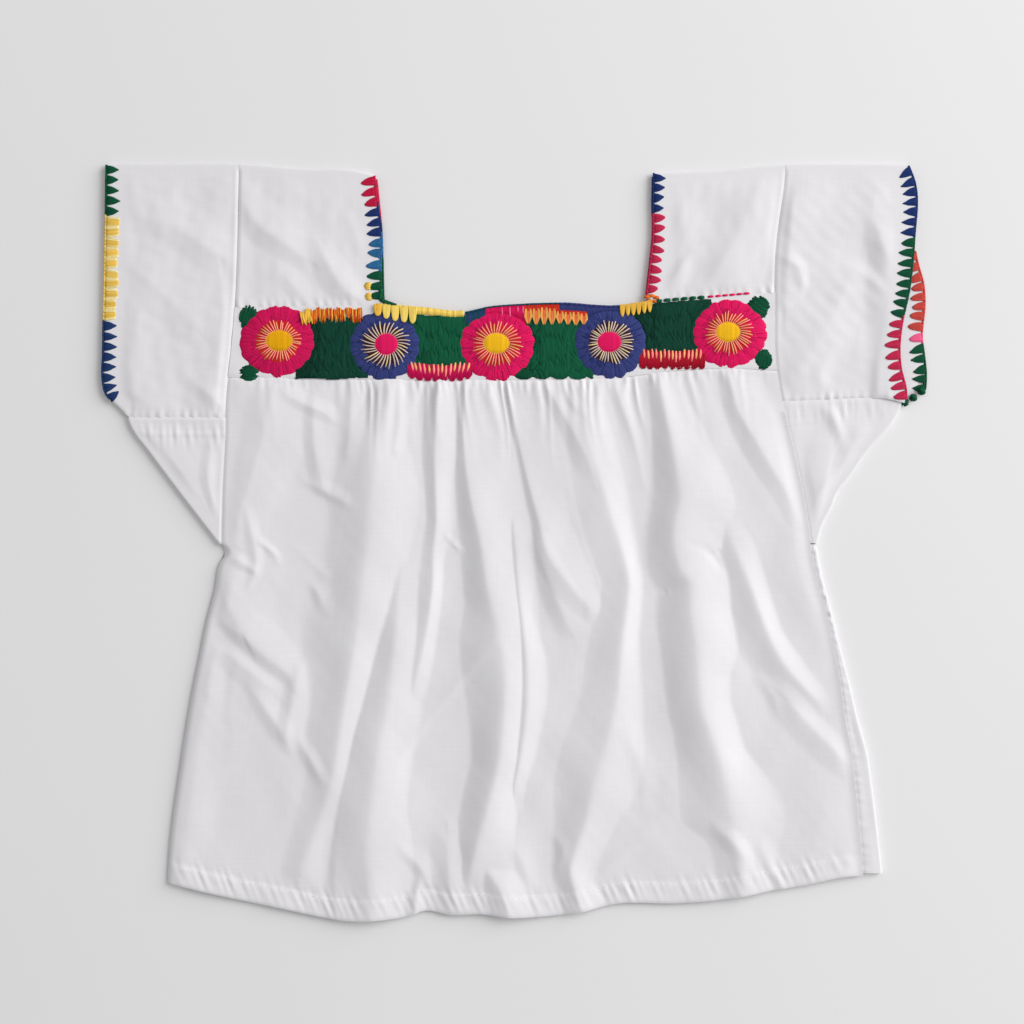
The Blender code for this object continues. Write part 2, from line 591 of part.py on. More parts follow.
def band(name, low, bottom_rows, material):
    top = shifted(curve(BAND_TOP), -SEAM_GAP / 2)
    bottom = shifted(curve(bottom_rows), SEAM_GAP / 2)
    left = shifted(curve(ARMHOLE_LEFT), SEAM_GAP / 2)
    right = shifted(curve(ARMHOLE_RIGHT), -SEAM_GAP / 2)
    plan = plan_grid(left, right, top, bottom, evenly(BAND_COLUMNS), evenly(BAND_ROWS))
    return flat_wall(name, plan, low, low + CLOTH, material)


# Embroidery and borders

def flower_head(name, place, material):
    # A padded flower of radiating satin stitch, with a notched edge and a raised heart
    centre_x, centre_y, half_width, half_height = place
    low = FRONT_TOP + TRIM_GAP
    bm = bmesh.new()
    loops = []
    for reach, height, groove in FLOWER_RINGS:
        loop = []
        for k in range(2 * PETALS):
            angle = math.pi * k / PETALS
            notch = 1 - PETAL_NOTCH * (k % 2) if reach > PETALS_FROM else 1
            x = centre_x + half_width * reach * notch * math.cos(angle)
            y = centre_y + half_height * reach * notch * math.sin(angle)
            loop.append(bm.verts.new((x, y, low + height - groove * (k % 2))))
        loops.append(loop)
    for first, second in zip(loops, loops[1:]):
        for k in range(2 * PETALS):
            after = (k + 1) % (2 * PETALS)
            bm.faces.new((first[k], first[after], second[after], second[k]))
    bm.faces.new(loops[0])
    bm.faces.new(loops[-1])
    return finish(name, bm, material)


def leaf_fill(name, left_flower, right_flower, fill, material):
    # Satin-stitched leaves between two flower heads, cut back round both
    def side_of(flower, side):
        centre_x, centre_y, half_width, half_height = flower
        points = []
        for share in evenly(LEAF_SIDE_STEPS):
            y = fill.bottom + (fill.top - fill.bottom) * share
            rise = np.clip((y - centre_y) / (half_height + 2 * SEAM_GAP), -1, 1)
            reach = (half_width + 2 * SEAM_GAP) * math.sqrt(1 - rise * rise)
            points.append((centre_x + side * max(reach, LEAF_LEAST_REACH * half_width), y))
        return points

    left = side_of(left_flower, 1)
    right = side_of(right_flower, -1)
    start, end = left[0][0], right[0][0]
    lower = []
    if fill.waves:
        for share in evenly(2 * fill.waves + 1)[1:-1]:
            wave = LEAF_WAVE * abs(math.sin(math.pi * fill.waves * share))
            lower.append((start + (end - start) * share, fill.bottom + LEAF_WAVE - wave))
    plan = lower[::-1] + left + right[::-1]
    low = FRONT_TOP + TRIM_GAP
    return prism(name, plan, low, low + FILL_HEIGHT, material)


def corner_leaf(name, place, material):
    centre_x, centre_y, half_width, half_height = place
    plan = []
    for k in range(CORNER_LEAF_SIDES):
        angle = 2 * math.pi * k / CORNER_LEAF_SIDES
        reach = 1 if k % 3 else CORNER_LEAF_POINT
        plan.append((centre_x + half_width * reach * math.cos(angle),
                     centre_y + half_height * reach * math.sin(angle)))
    low = FRONT_TOP + TRIM_GAP
    return prism(name, plan, low, low + FILL_HEIGHT, material)


def flat_top(x, y):
    return FRONT_TOP


def band_fringe(fringe, neckline, material):
    # A row of pointed stitches that hang down from a line on the band
    def line(x):
        return neckline(x) + FRINGE_OVER_NECKLINE if fringe.top is None else fringe.top

    teeth = round((fringe.end - fringe.start) / FRINGE_PITCH)
    edge = edge_across(line, fringe.start, fringe.end, -1)
    return border(fringe.name, edge, teeth, fringe.depth, 0, flat_top, material)


def rim(name, rows, start, end, outward_sign, material):
    # The rim of stitches on the free edge of the back layer, lying on the surface
    edge = edge_down(rows, start, end, -outward_sign)
    near, far = [], []
    for share in evenly(RIM_STATIONS):
        (x, y), (inward_x, inward_y) = edge(share)
        near.append((x - inward_x * SEAM_GAP, y - inward_y * SEAM_GAP))
        far.append((x - inward_x * (SEAM_GAP + RIM_WIDTH), y - inward_y * (SEAM_GAP + RIM_WIDTH)))
    return prism(name, near + far[::-1], 0, CLOTH + TRIM_GAP, material)


def right_cuff_back_base(x, y):
    return CLOTH


def right_cuff_front_base(x, y):
    return FRONT_TOP + float(right_cuff_lift(x, y))


def toothed(name, rows, span, inward_sign, base, material):
    # A border with whole teeth between two heights on an edge that runs down the blouse
    start, end = span
    teeth = round(abs(end - start) / TOOTH_PITCH)
    edge = edge_down(rows, start, end, inward_sign)
    return border(name, edge, teeth, TOOTH_DEPTH, EDGE_OVERHANG, base, material)


def make_borders():
    toothed("border_cuff_left", CUFF_LEFT, BORDER_CUFF_LEFT, 1, flat_top,
            fabric("yellow cotton thread", YELLOW))
    toothed("border_cuff_right", CUFF_RIGHT_FRONT, BORDER_CUFF_RIGHT, -1, right_cuff_front_base,
            fabric("navy cotton thread", NAVY))
    toothed("border_cuff_right_inside", CUFF_RIGHT_BACK, BORDER_CUFF_RIGHT_INSIDE, -1,
            right_cuff_back_base, fabric("coral cotton thread", RED))
    toothed("border_neck_left", NECK_LEFT_FRONT, BORDER_NECK_LEFT, -1, flat_top,
            fabric("blue cotton thread", BLUE))
    toothed("border_neck_right", NECK_RIGHT, BORDER_NECK_RIGHT, 1, flat_top,
            fabric("crimson cotton thread", MAGENTA))
    rim("rim_cuff_left_back", CUFF_LEFT, *RIM_CUFF_LEFT, -1, fabric("green cotton rim thread", GREEN))
    rim("rim_neck_left_back", NECK_LEFT_BACK, *RIM_NECK_LEFT, 1, fabric("red cotton rim thread", RED))
    rim("rim_neck_right_back", NECK_RIGHT, *RIM_NECK_RIGHT, -1,
        fabric("blue cotton rim thread", BLUE))


def make_embroidery():
    magenta = fabric("magenta satin stitch", MAGENTA, SATIN_ROUGHNESS)
    navy = fabric("navy satin stitch", NAVY, SATIN_ROUGHNESS)
    green = fabric("green satin stitch", GREEN, SATIN_ROUGHNESS)
    for number, place in enumerate(FLOWER_HEADS, 1):
        flower_head(f"flower_{number}", place, magenta if number % 2 else navy)
    pairs = zip(FLOWER_HEADS, FLOWER_HEADS[1:], LEAF_FILLS)
    for number, (left, right, fill) in enumerate(pairs, 1):
        leaf_fill(f"leaves_{number}", left, right, fill, green)
    for number, place in enumerate(CORNER_LEAVES, 1):
        corner_leaf(f"corner_leaf_{number}", place, green)
    neckline = curve(BAND_TOP)
    thread = {"orange": fabric("orange cotton thread", ORANGE), "red": fabric("red cotton thread", RED),
              "yellow": fabric("yellow fringe thread", YELLOW)}
    for fringe in FRINGES:
        band_fringe(fringe, neckline, thread[fringe.thread])


def build():
    for thing in list(bpy.data.objects):
        bpy.data.objects.remove(thing, do_unlink=True)
    cotton = fabric("white cotton muslin", WHITE)
    armhole_left, armhole_right = curve(ARMHOLE_LEFT), curve(ARMHOLE_RIGHT)
    back_body(cotton)
    back_body_turned_edge(cotton)
    band("back_band", 0, BAND_BOTTOM_BACK, cotton)
    front_body(cotton)
    band("front_band", FRONT_INSIDE, BAND_BOTTOM, cotton)
    sleeve("sleeve_left", curve(CUFF_LEFT), curve(CUFF_LEFT), armhole_left,
           curve(SHOULDER_LEFT), curve(SLEEVE_END_LEFT), SLEEVE_LEFT_FOLDS, -1, cotton)
    sleeve("sleeve_right", curve(CUFF_RIGHT_FRONT), curve(CUFF_RIGHT_BACK), armhole_right,
           curve(SHOULDER_RIGHT), curve(SLEEVE_END_RIGHT), SLEEVE_RIGHT_FOLDS, 1, cotton)
    strap("strap_left", curve(NECK_LEFT_FRONT), curve(NECK_LEFT_BACK), armhole_left,
          curve(SHOULDER_LEFT), STRAP_LEFT_FOLDS, -1, cotton)
    strap("strap_right", curve(NECK_RIGHT), curve(NECK_RIGHT), armhole_right,
          curve(SHOULDER_RIGHT), STRAP_RIGHT_FOLDS, 1, cotton)
    gusset("gusset_left", GUSSET_FOLD_LEFT, armhole_left, curve(SLEEVE_END_LEFT),
           GUSSET_LEFT_FOLDS, -1, cotton)
    gusset("gusset_right", GUSSET_FOLD_RIGHT, armhole_right, curve(SLEEVE_END_RIGHT),
           GUSSET_RIGHT_FOLDS, 1, cotton)
    make_embroidery()
    make_borders()


build()
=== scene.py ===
import math
import random

import bpy
import numpy as np
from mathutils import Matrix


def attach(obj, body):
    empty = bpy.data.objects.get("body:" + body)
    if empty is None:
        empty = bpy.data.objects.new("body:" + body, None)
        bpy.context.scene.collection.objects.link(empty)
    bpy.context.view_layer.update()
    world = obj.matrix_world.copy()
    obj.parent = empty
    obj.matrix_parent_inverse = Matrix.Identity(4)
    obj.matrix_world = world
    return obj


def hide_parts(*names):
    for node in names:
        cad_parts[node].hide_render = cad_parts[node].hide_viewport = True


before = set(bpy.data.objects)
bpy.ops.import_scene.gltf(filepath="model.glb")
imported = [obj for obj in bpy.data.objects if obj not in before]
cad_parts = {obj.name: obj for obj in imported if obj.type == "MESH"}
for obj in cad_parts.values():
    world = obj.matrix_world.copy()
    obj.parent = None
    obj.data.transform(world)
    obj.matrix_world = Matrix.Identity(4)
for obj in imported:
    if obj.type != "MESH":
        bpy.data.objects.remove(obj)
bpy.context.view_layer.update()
bpy.ops.object.select_all(action="DESELECT")
millimetre = 0.001  # the tables below are in millimetres
print("frame loaded:", len(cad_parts), "nodes")

# Light, camera and floor

studio = {
    "cameraOver": (-1.4, 13.8, 852.0),
    "lens": 65,
    "keyPlace": (2480, 1080, 1500),
    "keySize": 2400,
    "keyPower": 106.0,
    "fill": 0.50,
    "floor": "e6e5e6",
    "floorSize": 6,  # in metres
    "floorRoughness": 0.75,
    "mottleScale": 5,
    "mottle": 0.975,
}


def linearColour(hexValue):
    # An sRGB hex value as the linear colour that a shader takes
    parts = [int(hexValue[k:k + 2], 16) / 255 for k in (0, 2, 4)]
    return (*[c / 12.92 if c <= 0.04045 else ((c + 0.055) / 1.055) ** 2.4 for c in parts], 1)


def addNode(tree, kind, inputs=(), **settings):
    # Adds a node, sets its options, and fills or links its inputs
    node = tree.nodes.new(kind)
    for name, value in settings.items():
        setattr(node, name, value)
    for socket, value in dict(inputs).items():
        if isinstance(value, bpy.types.NodeSocket):
            tree.links.new(value, node.inputs[socket])
        else:
            node.inputs[socket].default_value = value
    return node


def newMaterial(name, roughness):
    material = bpy.data.materials.new(name)
    material.use_nodes = True
    shader = material.node_tree.nodes["Principled BSDF"]
    shader.inputs["Roughness"].default_value = roughness
    return material, material.node_tree, shader


def studioScene():
    bpy.context.scene.view_settings.view_transform = "Standard"
    world = bpy.data.worlds.new("soft studio fill")
    world.use_nodes = True
    background = world.node_tree.nodes["Background"]
    background.inputs["Color"].default_value = (1, 1, 1, 1)
    background.inputs["Strength"].default_value = studio["fill"]
    bpy.context.scene.world = world

    bpy.ops.object.light_add(type="AREA", location=[v * millimetre for v in studio["keyPlace"]])
    key = bpy.context.object
    key.name = "keyLight"
    key.data.shape = "SQUARE"
    key.data.size = studio["keySize"] * millimetre
    key.data.energy = studio["keyPower"]
    toward = -key.location
    key.rotation_euler = toward.to_track_quat("-Z", "Y").to_euler()

    bpy.ops.object.camera_add(location=[v * millimetre for v in studio["cameraOver"]])
    camera = bpy.context.object
    camera.data.lens = studio["lens"]
    camera.data.sensor_width = 36
    camera.data.clip_start = 0.01
    bpy.context.scene.camera = camera

    bpy.ops.mesh.primitive_plane_add(size=studio["floorSize"], location=(0, 0, 0))
    floor = bpy.context.object
    floor.name = "floor"
    material, tree, shader = newMaterial("painted board, matt", studio["floorRoughness"])
    # A sprayed matt board: an even pale tone with a very slight mottle
    coords = addNode(tree, "ShaderNodeTexCoord")
    mottle = addNode(tree, "ShaderNodeTexNoise", {"Vector": coords.outputs["Object"],
                                                  "Scale": studio["mottleScale"]})
    tone = linearColour(studio["floor"])
    darker = tuple(studio["mottle"] * v for v in tone[:3]) + (1,)
    mix = addNode(tree, "ShaderNodeMixRGB", {"Fac": mottle.outputs["Fac"], "Color1": tone, "Color2": darker})
    tree.links.new(mix.outputs["Color"], shader.inputs["Base Color"])
    floor.data.materials.append(material)


studioScene()

# Materials

muslin = {
    "colour": "e2e0e3",
    "shade": "dfdde0",
    "threadSpacing": 0.7,  # real spacing is about 0.4 mm, drawn coarser so that it shows
    "slubWidth": 1.1,
    "slubLength": 16,
    "weaveDepth": 0.05,
    "waver": 0.35,
    "bump": 0.07,
    "roughness": 0.85,
    "sheen": 0.08,
    "specular": 0.3,
}
bandsPerMm = math.tau / 20  # the scale at which a wave texture has one band a millimetre


def wovenMuslin(name):
    # Plain-woven cotton muslin: a fine grid of threads with thicker slubs here and there,
    # which gives the eye a soft, slightly streaked white
    material, tree, shader = newMaterial(name, muslin["roughness"])
    uv = addNode(tree, "ShaderNodeUVMap", uv_map="clothMm").outputs["UV"]
    wave = {"Vector": uv, "Scale": bandsPerMm / muslin["threadSpacing"], "Distortion": muslin["waver"],
            "Detail Scale": 0.5}
    warp, weft = (addNode(tree, "ShaderNodeTexWave", wave, bands_direction=way) for way in ("X", "Y"))
    slubs = []
    for spread in ((1 / muslin["slubWidth"], 1 / muslin["slubLength"], 1),
                   (1 / muslin["slubLength"], 1 / muslin["slubWidth"], 1)):
        laid = addNode(tree, "ShaderNodeMapping", {"Vector": uv, "Scale": spread})
        slubs.append(addNode(tree, "ShaderNodeTexNoise", {"Vector": laid.outputs["Vector"],
                                                          "Scale": 1.0, "Detail": 3}))
    weave = addNode(tree, "ShaderNodeMath", {0: warp.outputs["Fac"], 1: weft.outputs["Fac"]},
                    operation="MULTIPLY")
    streaks = addNode(tree, "ShaderNodeMath", {0: slubs[0].outputs["Fac"], 1: slubs[1].outputs["Fac"]},
                      operation="ADD")
    height = addNode(tree, "ShaderNodeMath", {0: weave.outputs[0], 1: streaks.outputs[0]}, operation="ADD")
    bump = addNode(tree, "ShaderNodeBump", {"Height": height.outputs[0], "Strength": muslin["bump"],
                                            "Distance": muslin["weaveDepth"] * millimetre})
    fade = addNode(tree, "ShaderNodeMapRange", {"Value": streaks.outputs[0], "From Min": 0.75,
                                                "From Max": 1.25, "To Min": 0.0, "To Max": 1.0})
    mix = addNode(tree, "ShaderNodeMixRGB", {"Fac": fade.outputs[0], "Color1": linearColour(muslin["shade"]),
                                             "Color2": linearColour(muslin["colour"])})
    tree.links.new(mix.outputs["Color"], shader.inputs["Base Color"])
    tree.links.new(bump.outputs["Normal"], shader.inputs["Normal"])
    shader.inputs["Sheen Weight"].default_value = muslin["sheen"]
    shader.inputs["Specular IOR Level"].default_value = muslin["specular"]
    return material


threadLook = {"roughness": 0.6, "fuzz": 0.9, "twist": 1.1, "twistDepth": 0.03, "variation": 0.17,
              "specular": 0.07}


def strandedCotton(name, hexValue, roughness=None, variation=None):
    # Stranded cotton embroidery thread, combed and slightly twisted: each stitch catches
    # the light a little differently, with a soft silky lustre along it
    material, tree, shader = newMaterial(name, roughness or threadLook["roughness"])
    uv = addNode(tree, "ShaderNodeUVMap", uv_map="clothMm").outputs["UV"]
    split = addNode(tree, "ShaderNodeSeparateXYZ", {"Vector": uv})
    stitch = addNode(tree, "ShaderNodeMath", {0: split.outputs["Y"]}, operation="FLOOR")
    chance = addNode(tree, "ShaderNodeTexWhiteNoise", {"W": stitch.outputs[0]}, noise_dimensions="1D")
    fuzz = addNode(tree, "ShaderNodeTexNoise", {"Vector": uv, "Scale": threadLook["fuzz"], "Detail": 3})
    both = addNode(tree, "ShaderNodeMath", {0: chance.outputs["Value"], 1: fuzz.outputs["Fac"]},
                   operation="ADD")
    change = variation or threadLook["variation"]
    value = addNode(tree, "ShaderNodeMapRange", {"Value": both.outputs[0], "From Min": 0.3, "From Max": 1.7,
                                                 "To Min": 1 - change, "To Max": 1 + change})
    colour = addNode(tree, "ShaderNodeHueSaturation", {"Color": linearColour(hexValue),
                                                       "Value": value.outputs[0]})
    plies = addNode(tree, "ShaderNodeTexWave", {"Vector": uv, "Scale": bandsPerMm / threadLook["twist"]},
                    bands_direction="DIAGONAL")
    bump = addNode(tree, "ShaderNodeBump", {"Height": plies.outputs["Fac"], "Strength": 0.5,
                                            "Distance": threadLook["twistDepth"] * millimetre})
    tree.links.new(colour.outputs["Color"], shader.inputs["Base Color"])
    tree.links.new(bump.outputs["Normal"], shader.inputs["Normal"])
    shader.inputs["Specular IOR Level"].default_value = threadLook["specular"]
    return material


cotton = wovenMuslin("plain-woven cotton muslin")
whiteThread = strandedCotton("white sewing cotton", "e6e4e7", 0.8, 0.03)
threads = {name: strandedCotton(name + " stranded cotton", tone) for name, tone in {
    "rose": "cb1555", "magenta": "dc175c", "navy": "374078", "green": "0f5439",
    "darkGreenAndPaintedShade": "0b4630", "yellow": "edb51c", "mustard": "e3a40e", "orange": "e3712a",
    "flameRed": "cf3422", "peach": "f3ae70", "apricot": "f0bf4c", "cream": "ead39c", "brown": "38202b",
    "cuffGreen": "125037", "cuffYellow": "eac45c", "cuffBlue": "233b69", "neckBlue": "2f6796",
    "borderNavy": "20346a", "borderCrimson": "c02c50", "coral": "c94c44", "neckRed": "be1c42",
    "pink": "e8628c", "teal": "1c4a5c", "red": "b3182f", "lemon": "f8da6e", "paleYellow": "f0dc9a",
    "ember": "c92c26", "wine": "bb1350", "ink": "2a3166", "salmon": "ff9584", "sand": "d3bcb0",
    "marigold": "ec7c4c", "honey": "f4b45c", "pine": "0e3e2f", "pinePaintedShade": "0a3327",
}.items()}
print("materials made")

# Shape tools, the same ones that the blouse's solids use


def smoothLine(rows):
    # A smooth curve through rows of place and value
    ordered = sorted(tuple(row[:2]) for row in rows)
    at = np.array([row[0] for row in ordered], float)
    value = np.array([row[1] for row in ordered], float)
    slope = np.gradient(value, at) if len(at) > 2 else np.full(2, (value[1] - value[0]) / (at[1] - at[0]))

    def point(t):
        t = np.clip(t, at[0], at[-1])
        k = np.clip(np.searchsorted(at, t) - 1, 0, len(at) - 2)
        span = at[k + 1] - at[k]
        s = (t - at[k]) / span
        first = (1 + 2 * s) * (1 - s) ** 2 * value[k] + s * (1 - s) ** 2 * span * slope[k]
        return first + s * s * (3 - 2 * s) * value[k + 1] + s * s * (s - 1) * span * slope[k + 1]

    return point


def smoothStep(value, start, end):
    s = np.clip((value - start) / (end - start), 0, 1)
    return s * s * (3 - 2 * s)


def dipBy(distance, width):
    # 1 on a seam, and 0 from this width on
    return 1 - smoothStep(distance, 0, width)


def ridgeBy(distance, middle, width):
    return np.exp(-((distance - middle) / width) ** 2)


def shifted(edge, offset):
    return lambda t: edge(t) + offset


def evenly(count):
    return np.linspace(0, 1, count)


def planGrid(left, right, top, bottom, across, down):
    # Plan points between four edges: left and right give x at a y, top and bottom give y at an x
    u, v = np.meshgrid(across, down)
    x = np.zeros(u.shape)
    for _ in range(16):
        y = (1 - v) * top(x) + v * bottom(x)
        x = (1 - u) * left(y) + u * right(y)
    return x, y


foldShape = {"widen": 1.4, "run": 3.0, "crest": 0.12, "fall": 1.25}


def foldsAt(x, y, folds, joined=False):
    # Height that folds add. A fold's rows are (x, y, width to the left, width to the right, height)
    # down its crest, where left and right are as seen looking up the crest. Joined folds meet in
    # valleys, where the others lie on each other
    wish = foldShape
    tip = math.hypot(1, wish["crest"]) - wish["crest"]
    total = np.zeros(np.shape(x))
    for rows in folds:
        table = np.array(rows, float)
        knots = evenly(len(table))
        steps = evenly(5 * (len(table) - 1) + 1)
        line = np.stack([smoothLine(list(zip(knots, table[:, c])))(steps) for c in range(5)], 1)
        reach = max(wish["widen"] * table[:, 2:4].max(), wish["run"] * table[:, 4].max()) + 1
        near = ((x > line[:, 0].min() - reach) & (x < line[:, 0].max() + reach)
                & (y > line[:, 1].min() - reach) & (y < line[:, 1].max() + reach))
        if not near.any():
            continue
        px, py = x[near], y[near]
        nearest, side, at = np.full(px.shape, 1e9), np.zeros(px.shape), np.zeros(px.shape)
        for k in range(len(line) - 1):
            dx, dy = line[k + 1, 0] - line[k, 0], line[k + 1, 1] - line[k, 1]
            s = np.clip(((px - line[k, 0]) * dx + (py - line[k, 1]) * dy) / (dx * dx + dy * dy), 0, 1)
            offX, offY = px - line[k, 0] - s * dx, py - line[k, 1] - s * dy
            distance = np.hypot(offX, offY)
            closer = distance < nearest
            nearest = np.where(closer, distance, nearest)
            side = np.where(closer, dx * offY - dy * offX, side)
            at = np.where(closer, k + s, at)
        places = np.arange(len(line))
        left, right, height = (np.interp(at, places, line[:, c]) for c in (2, 3, 4))
        run = np.maximum(wish["widen"] * np.where(side > 0, right, left), wish["run"] * np.abs(height))
        share = np.clip(nearest / np.maximum(run, 0.5), 0, 1)
        share = (np.hypot(share, wish["crest"]) - wish["crest"]) / tip
        rise = height * np.clip(1 - share, 0, 1) ** wish["fall"]
        total[near] = np.maximum(total[near], rise) if joined else total[near] + rise
    return total


def ripple(x, y, length, seed, waves=9):
    # Gentle unevenness of about one wavelength, between about -1 and 1
    chance = random.Random(seed)
    total = np.zeros(np.shape(x))
    for _ in range(waves):
        turn, phase = chance.uniform(0, math.tau), chance.uniform(0, math.tau)
        pace = math.tau / (length * chance.uniform(0.75, 1.35))
        total = total + np.sin(pace * (x * math.cos(turn) + y * math.sin(turn)) + phase)
    return total / math.sqrt(waves) * 0.8


def puckers(along, across, reach, depth, pitches, seed):
    # Small puckers that a line of stitches draws into cloth: across is the distance from the line
    chance = random.Random(seed)
    total = 0
    for pitch in pitches:
        lean = chance.uniform(-0.25, 0.25)
        swell = 1 + 0.5 * np.sin(math.tau * along / chance.uniform(23, 41) + chance.uniform(0, 6))
        total = total + swell * np.sin(math.tau * (along + lean * across) / pitch + chance.uniform(0, 6))
    return depth * total / len(pitches) * np.exp(-(across / reach) ** 2)


def slack(x, y, wish, side):
    # A piece's folds and the unevenness between them, whose rows are height, length and seed
    lift = wish["foldShare"] * foldsAt(x, y, wish["left" if side < 0 else "right"])
    for height, length, seed in wish["ripples"]:
        lift += height * ripple(x, y, length, seed + side)
    return lift


def lowest(grid, reach):
    # The lowest value within reach steps of each place
    low = np.pad(grid, reach, mode="edge")
    for axis, count in enumerate(grid.shape):
        low = np.minimum.reduce([low.take(range(k, k + count), axis=axis) for k in range(2 * reach + 1)])
    return low


def rimOf(rows, columns):
    # The grid places round the border of a grid, in order
    return ([(0, j) for j in range(columns - 1)] + [(i, columns - 1) for i in range(rows - 1)]
            + [(rows - 1, j) for j in range(columns - 1, 0, -1)] + [(i, 0) for i in range(rows - 1, 0, -1)])


def buildMesh(name, points, faces, uvs, materials, faceTones=None):
    # A mesh object at the origin from points in millimetres, with a UV in millimetres
    mesh = bpy.data.meshes.new(name)
    mesh.from_pydata((np.asarray(points) * millimetre).tolist(), [], faces)
    layer = mesh.uv_layers.new(name="clothMm")
    corners = np.empty(len(mesh.loops), np.int32)
    mesh.loops.foreach_get("vertex_index", corners)
    layer.data.foreach_set("uv", np.asarray(uvs, np.float32)[corners].ravel())
    for material in materials:
        mesh.materials.append(material)
    if faceTones is not None:
        mesh.polygons.foreach_set("material_index", np.asarray(faceTones, np.int32))
    mesh.polygons.foreach_set("use_smooth", np.ones(len(mesh.polygons), bool))
    mesh.update()
    piece = bpy.data.objects.new(name, mesh)
    bpy.context.scene.collection.objects.link(piece)
    return piece


def clothShell(name, outer, inner, uv):
    # A thin closed cloth between two grids of points (x, y, z). The inner one keeps every
    # step-th row and column
    step = layers["step"]
    rows, columns = outer[0].shape
    outerPoints = np.stack(outer, -1).reshape(-1, 3)
    thin = (slice(None, None, step), slice(None, None, step))
    innerRows, innerColumns = inner[0][thin].shape
    innerPoints = np.stack([g[thin] for g in inner], -1).reshape(-1, 3)
    shift = len(outerPoints)
    grid = np.arange(rows * columns).reshape(rows, columns)
    innerGrid = shift + np.arange(innerRows * innerColumns).reshape(innerRows, innerColumns)

    def quads(g, flip):
        corners = [g[:-1, :-1], g[1:, :-1], g[1:, 1:], g[:-1, 1:]]
        return np.stack(corners[::-1] if flip else corners, -1).reshape(-1, 4)

    area = np.cross(outerPoints[grid[1, 0]] - outerPoints[grid[0, 0]],
                    outerPoints[grid[0, 1]] - outerPoints[grid[0, 0]])[2]
    flip = area < 0
    faces = quads(grid, flip).tolist() + quads(innerGrid, not flip).tolist()
    outerRim = rimOf(rows, columns)
    place = {spot: k for k, spot in enumerate(outerRim)}
    innerRim = rimOf(innerRows, innerColumns)
    for start, end in zip(innerRim, innerRim[1:] + innerRim[:1]):
        k, last = place[(start[0] * step, start[1] * step)], place[(end[0] * step, end[1] * step)]
        along = [k]
        while along[-1] != last:
            along.append((along[-1] + 1) % len(outerRim))
        corners = [int(grid[outerRim[n]]) for n in along]
        corners += [int(innerGrid[end]), int(innerGrid[start])]
        faces.append(corners[::-1] if flip else corners)
    uvs = np.stack(uv, -1)
    uvs = np.concatenate([uvs.reshape(-1, 2), uvs[thin].reshape(-1, 2)])
    points = np.concatenate([outerPoints, innerPoints])
    piece = buildMesh(name, points, faces, uvs, [cotton])
    piece.data.set_sharp_from_angle(angle=math.radians(layers["sharpFrom"]))
    return piece


def dress(piece, slot, *nodes):
    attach(piece, "root")
    if nodes:
        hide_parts(*nodes)
    return piece


# The blouse's edges, as rows of (y, x) down it or (x, y) across it

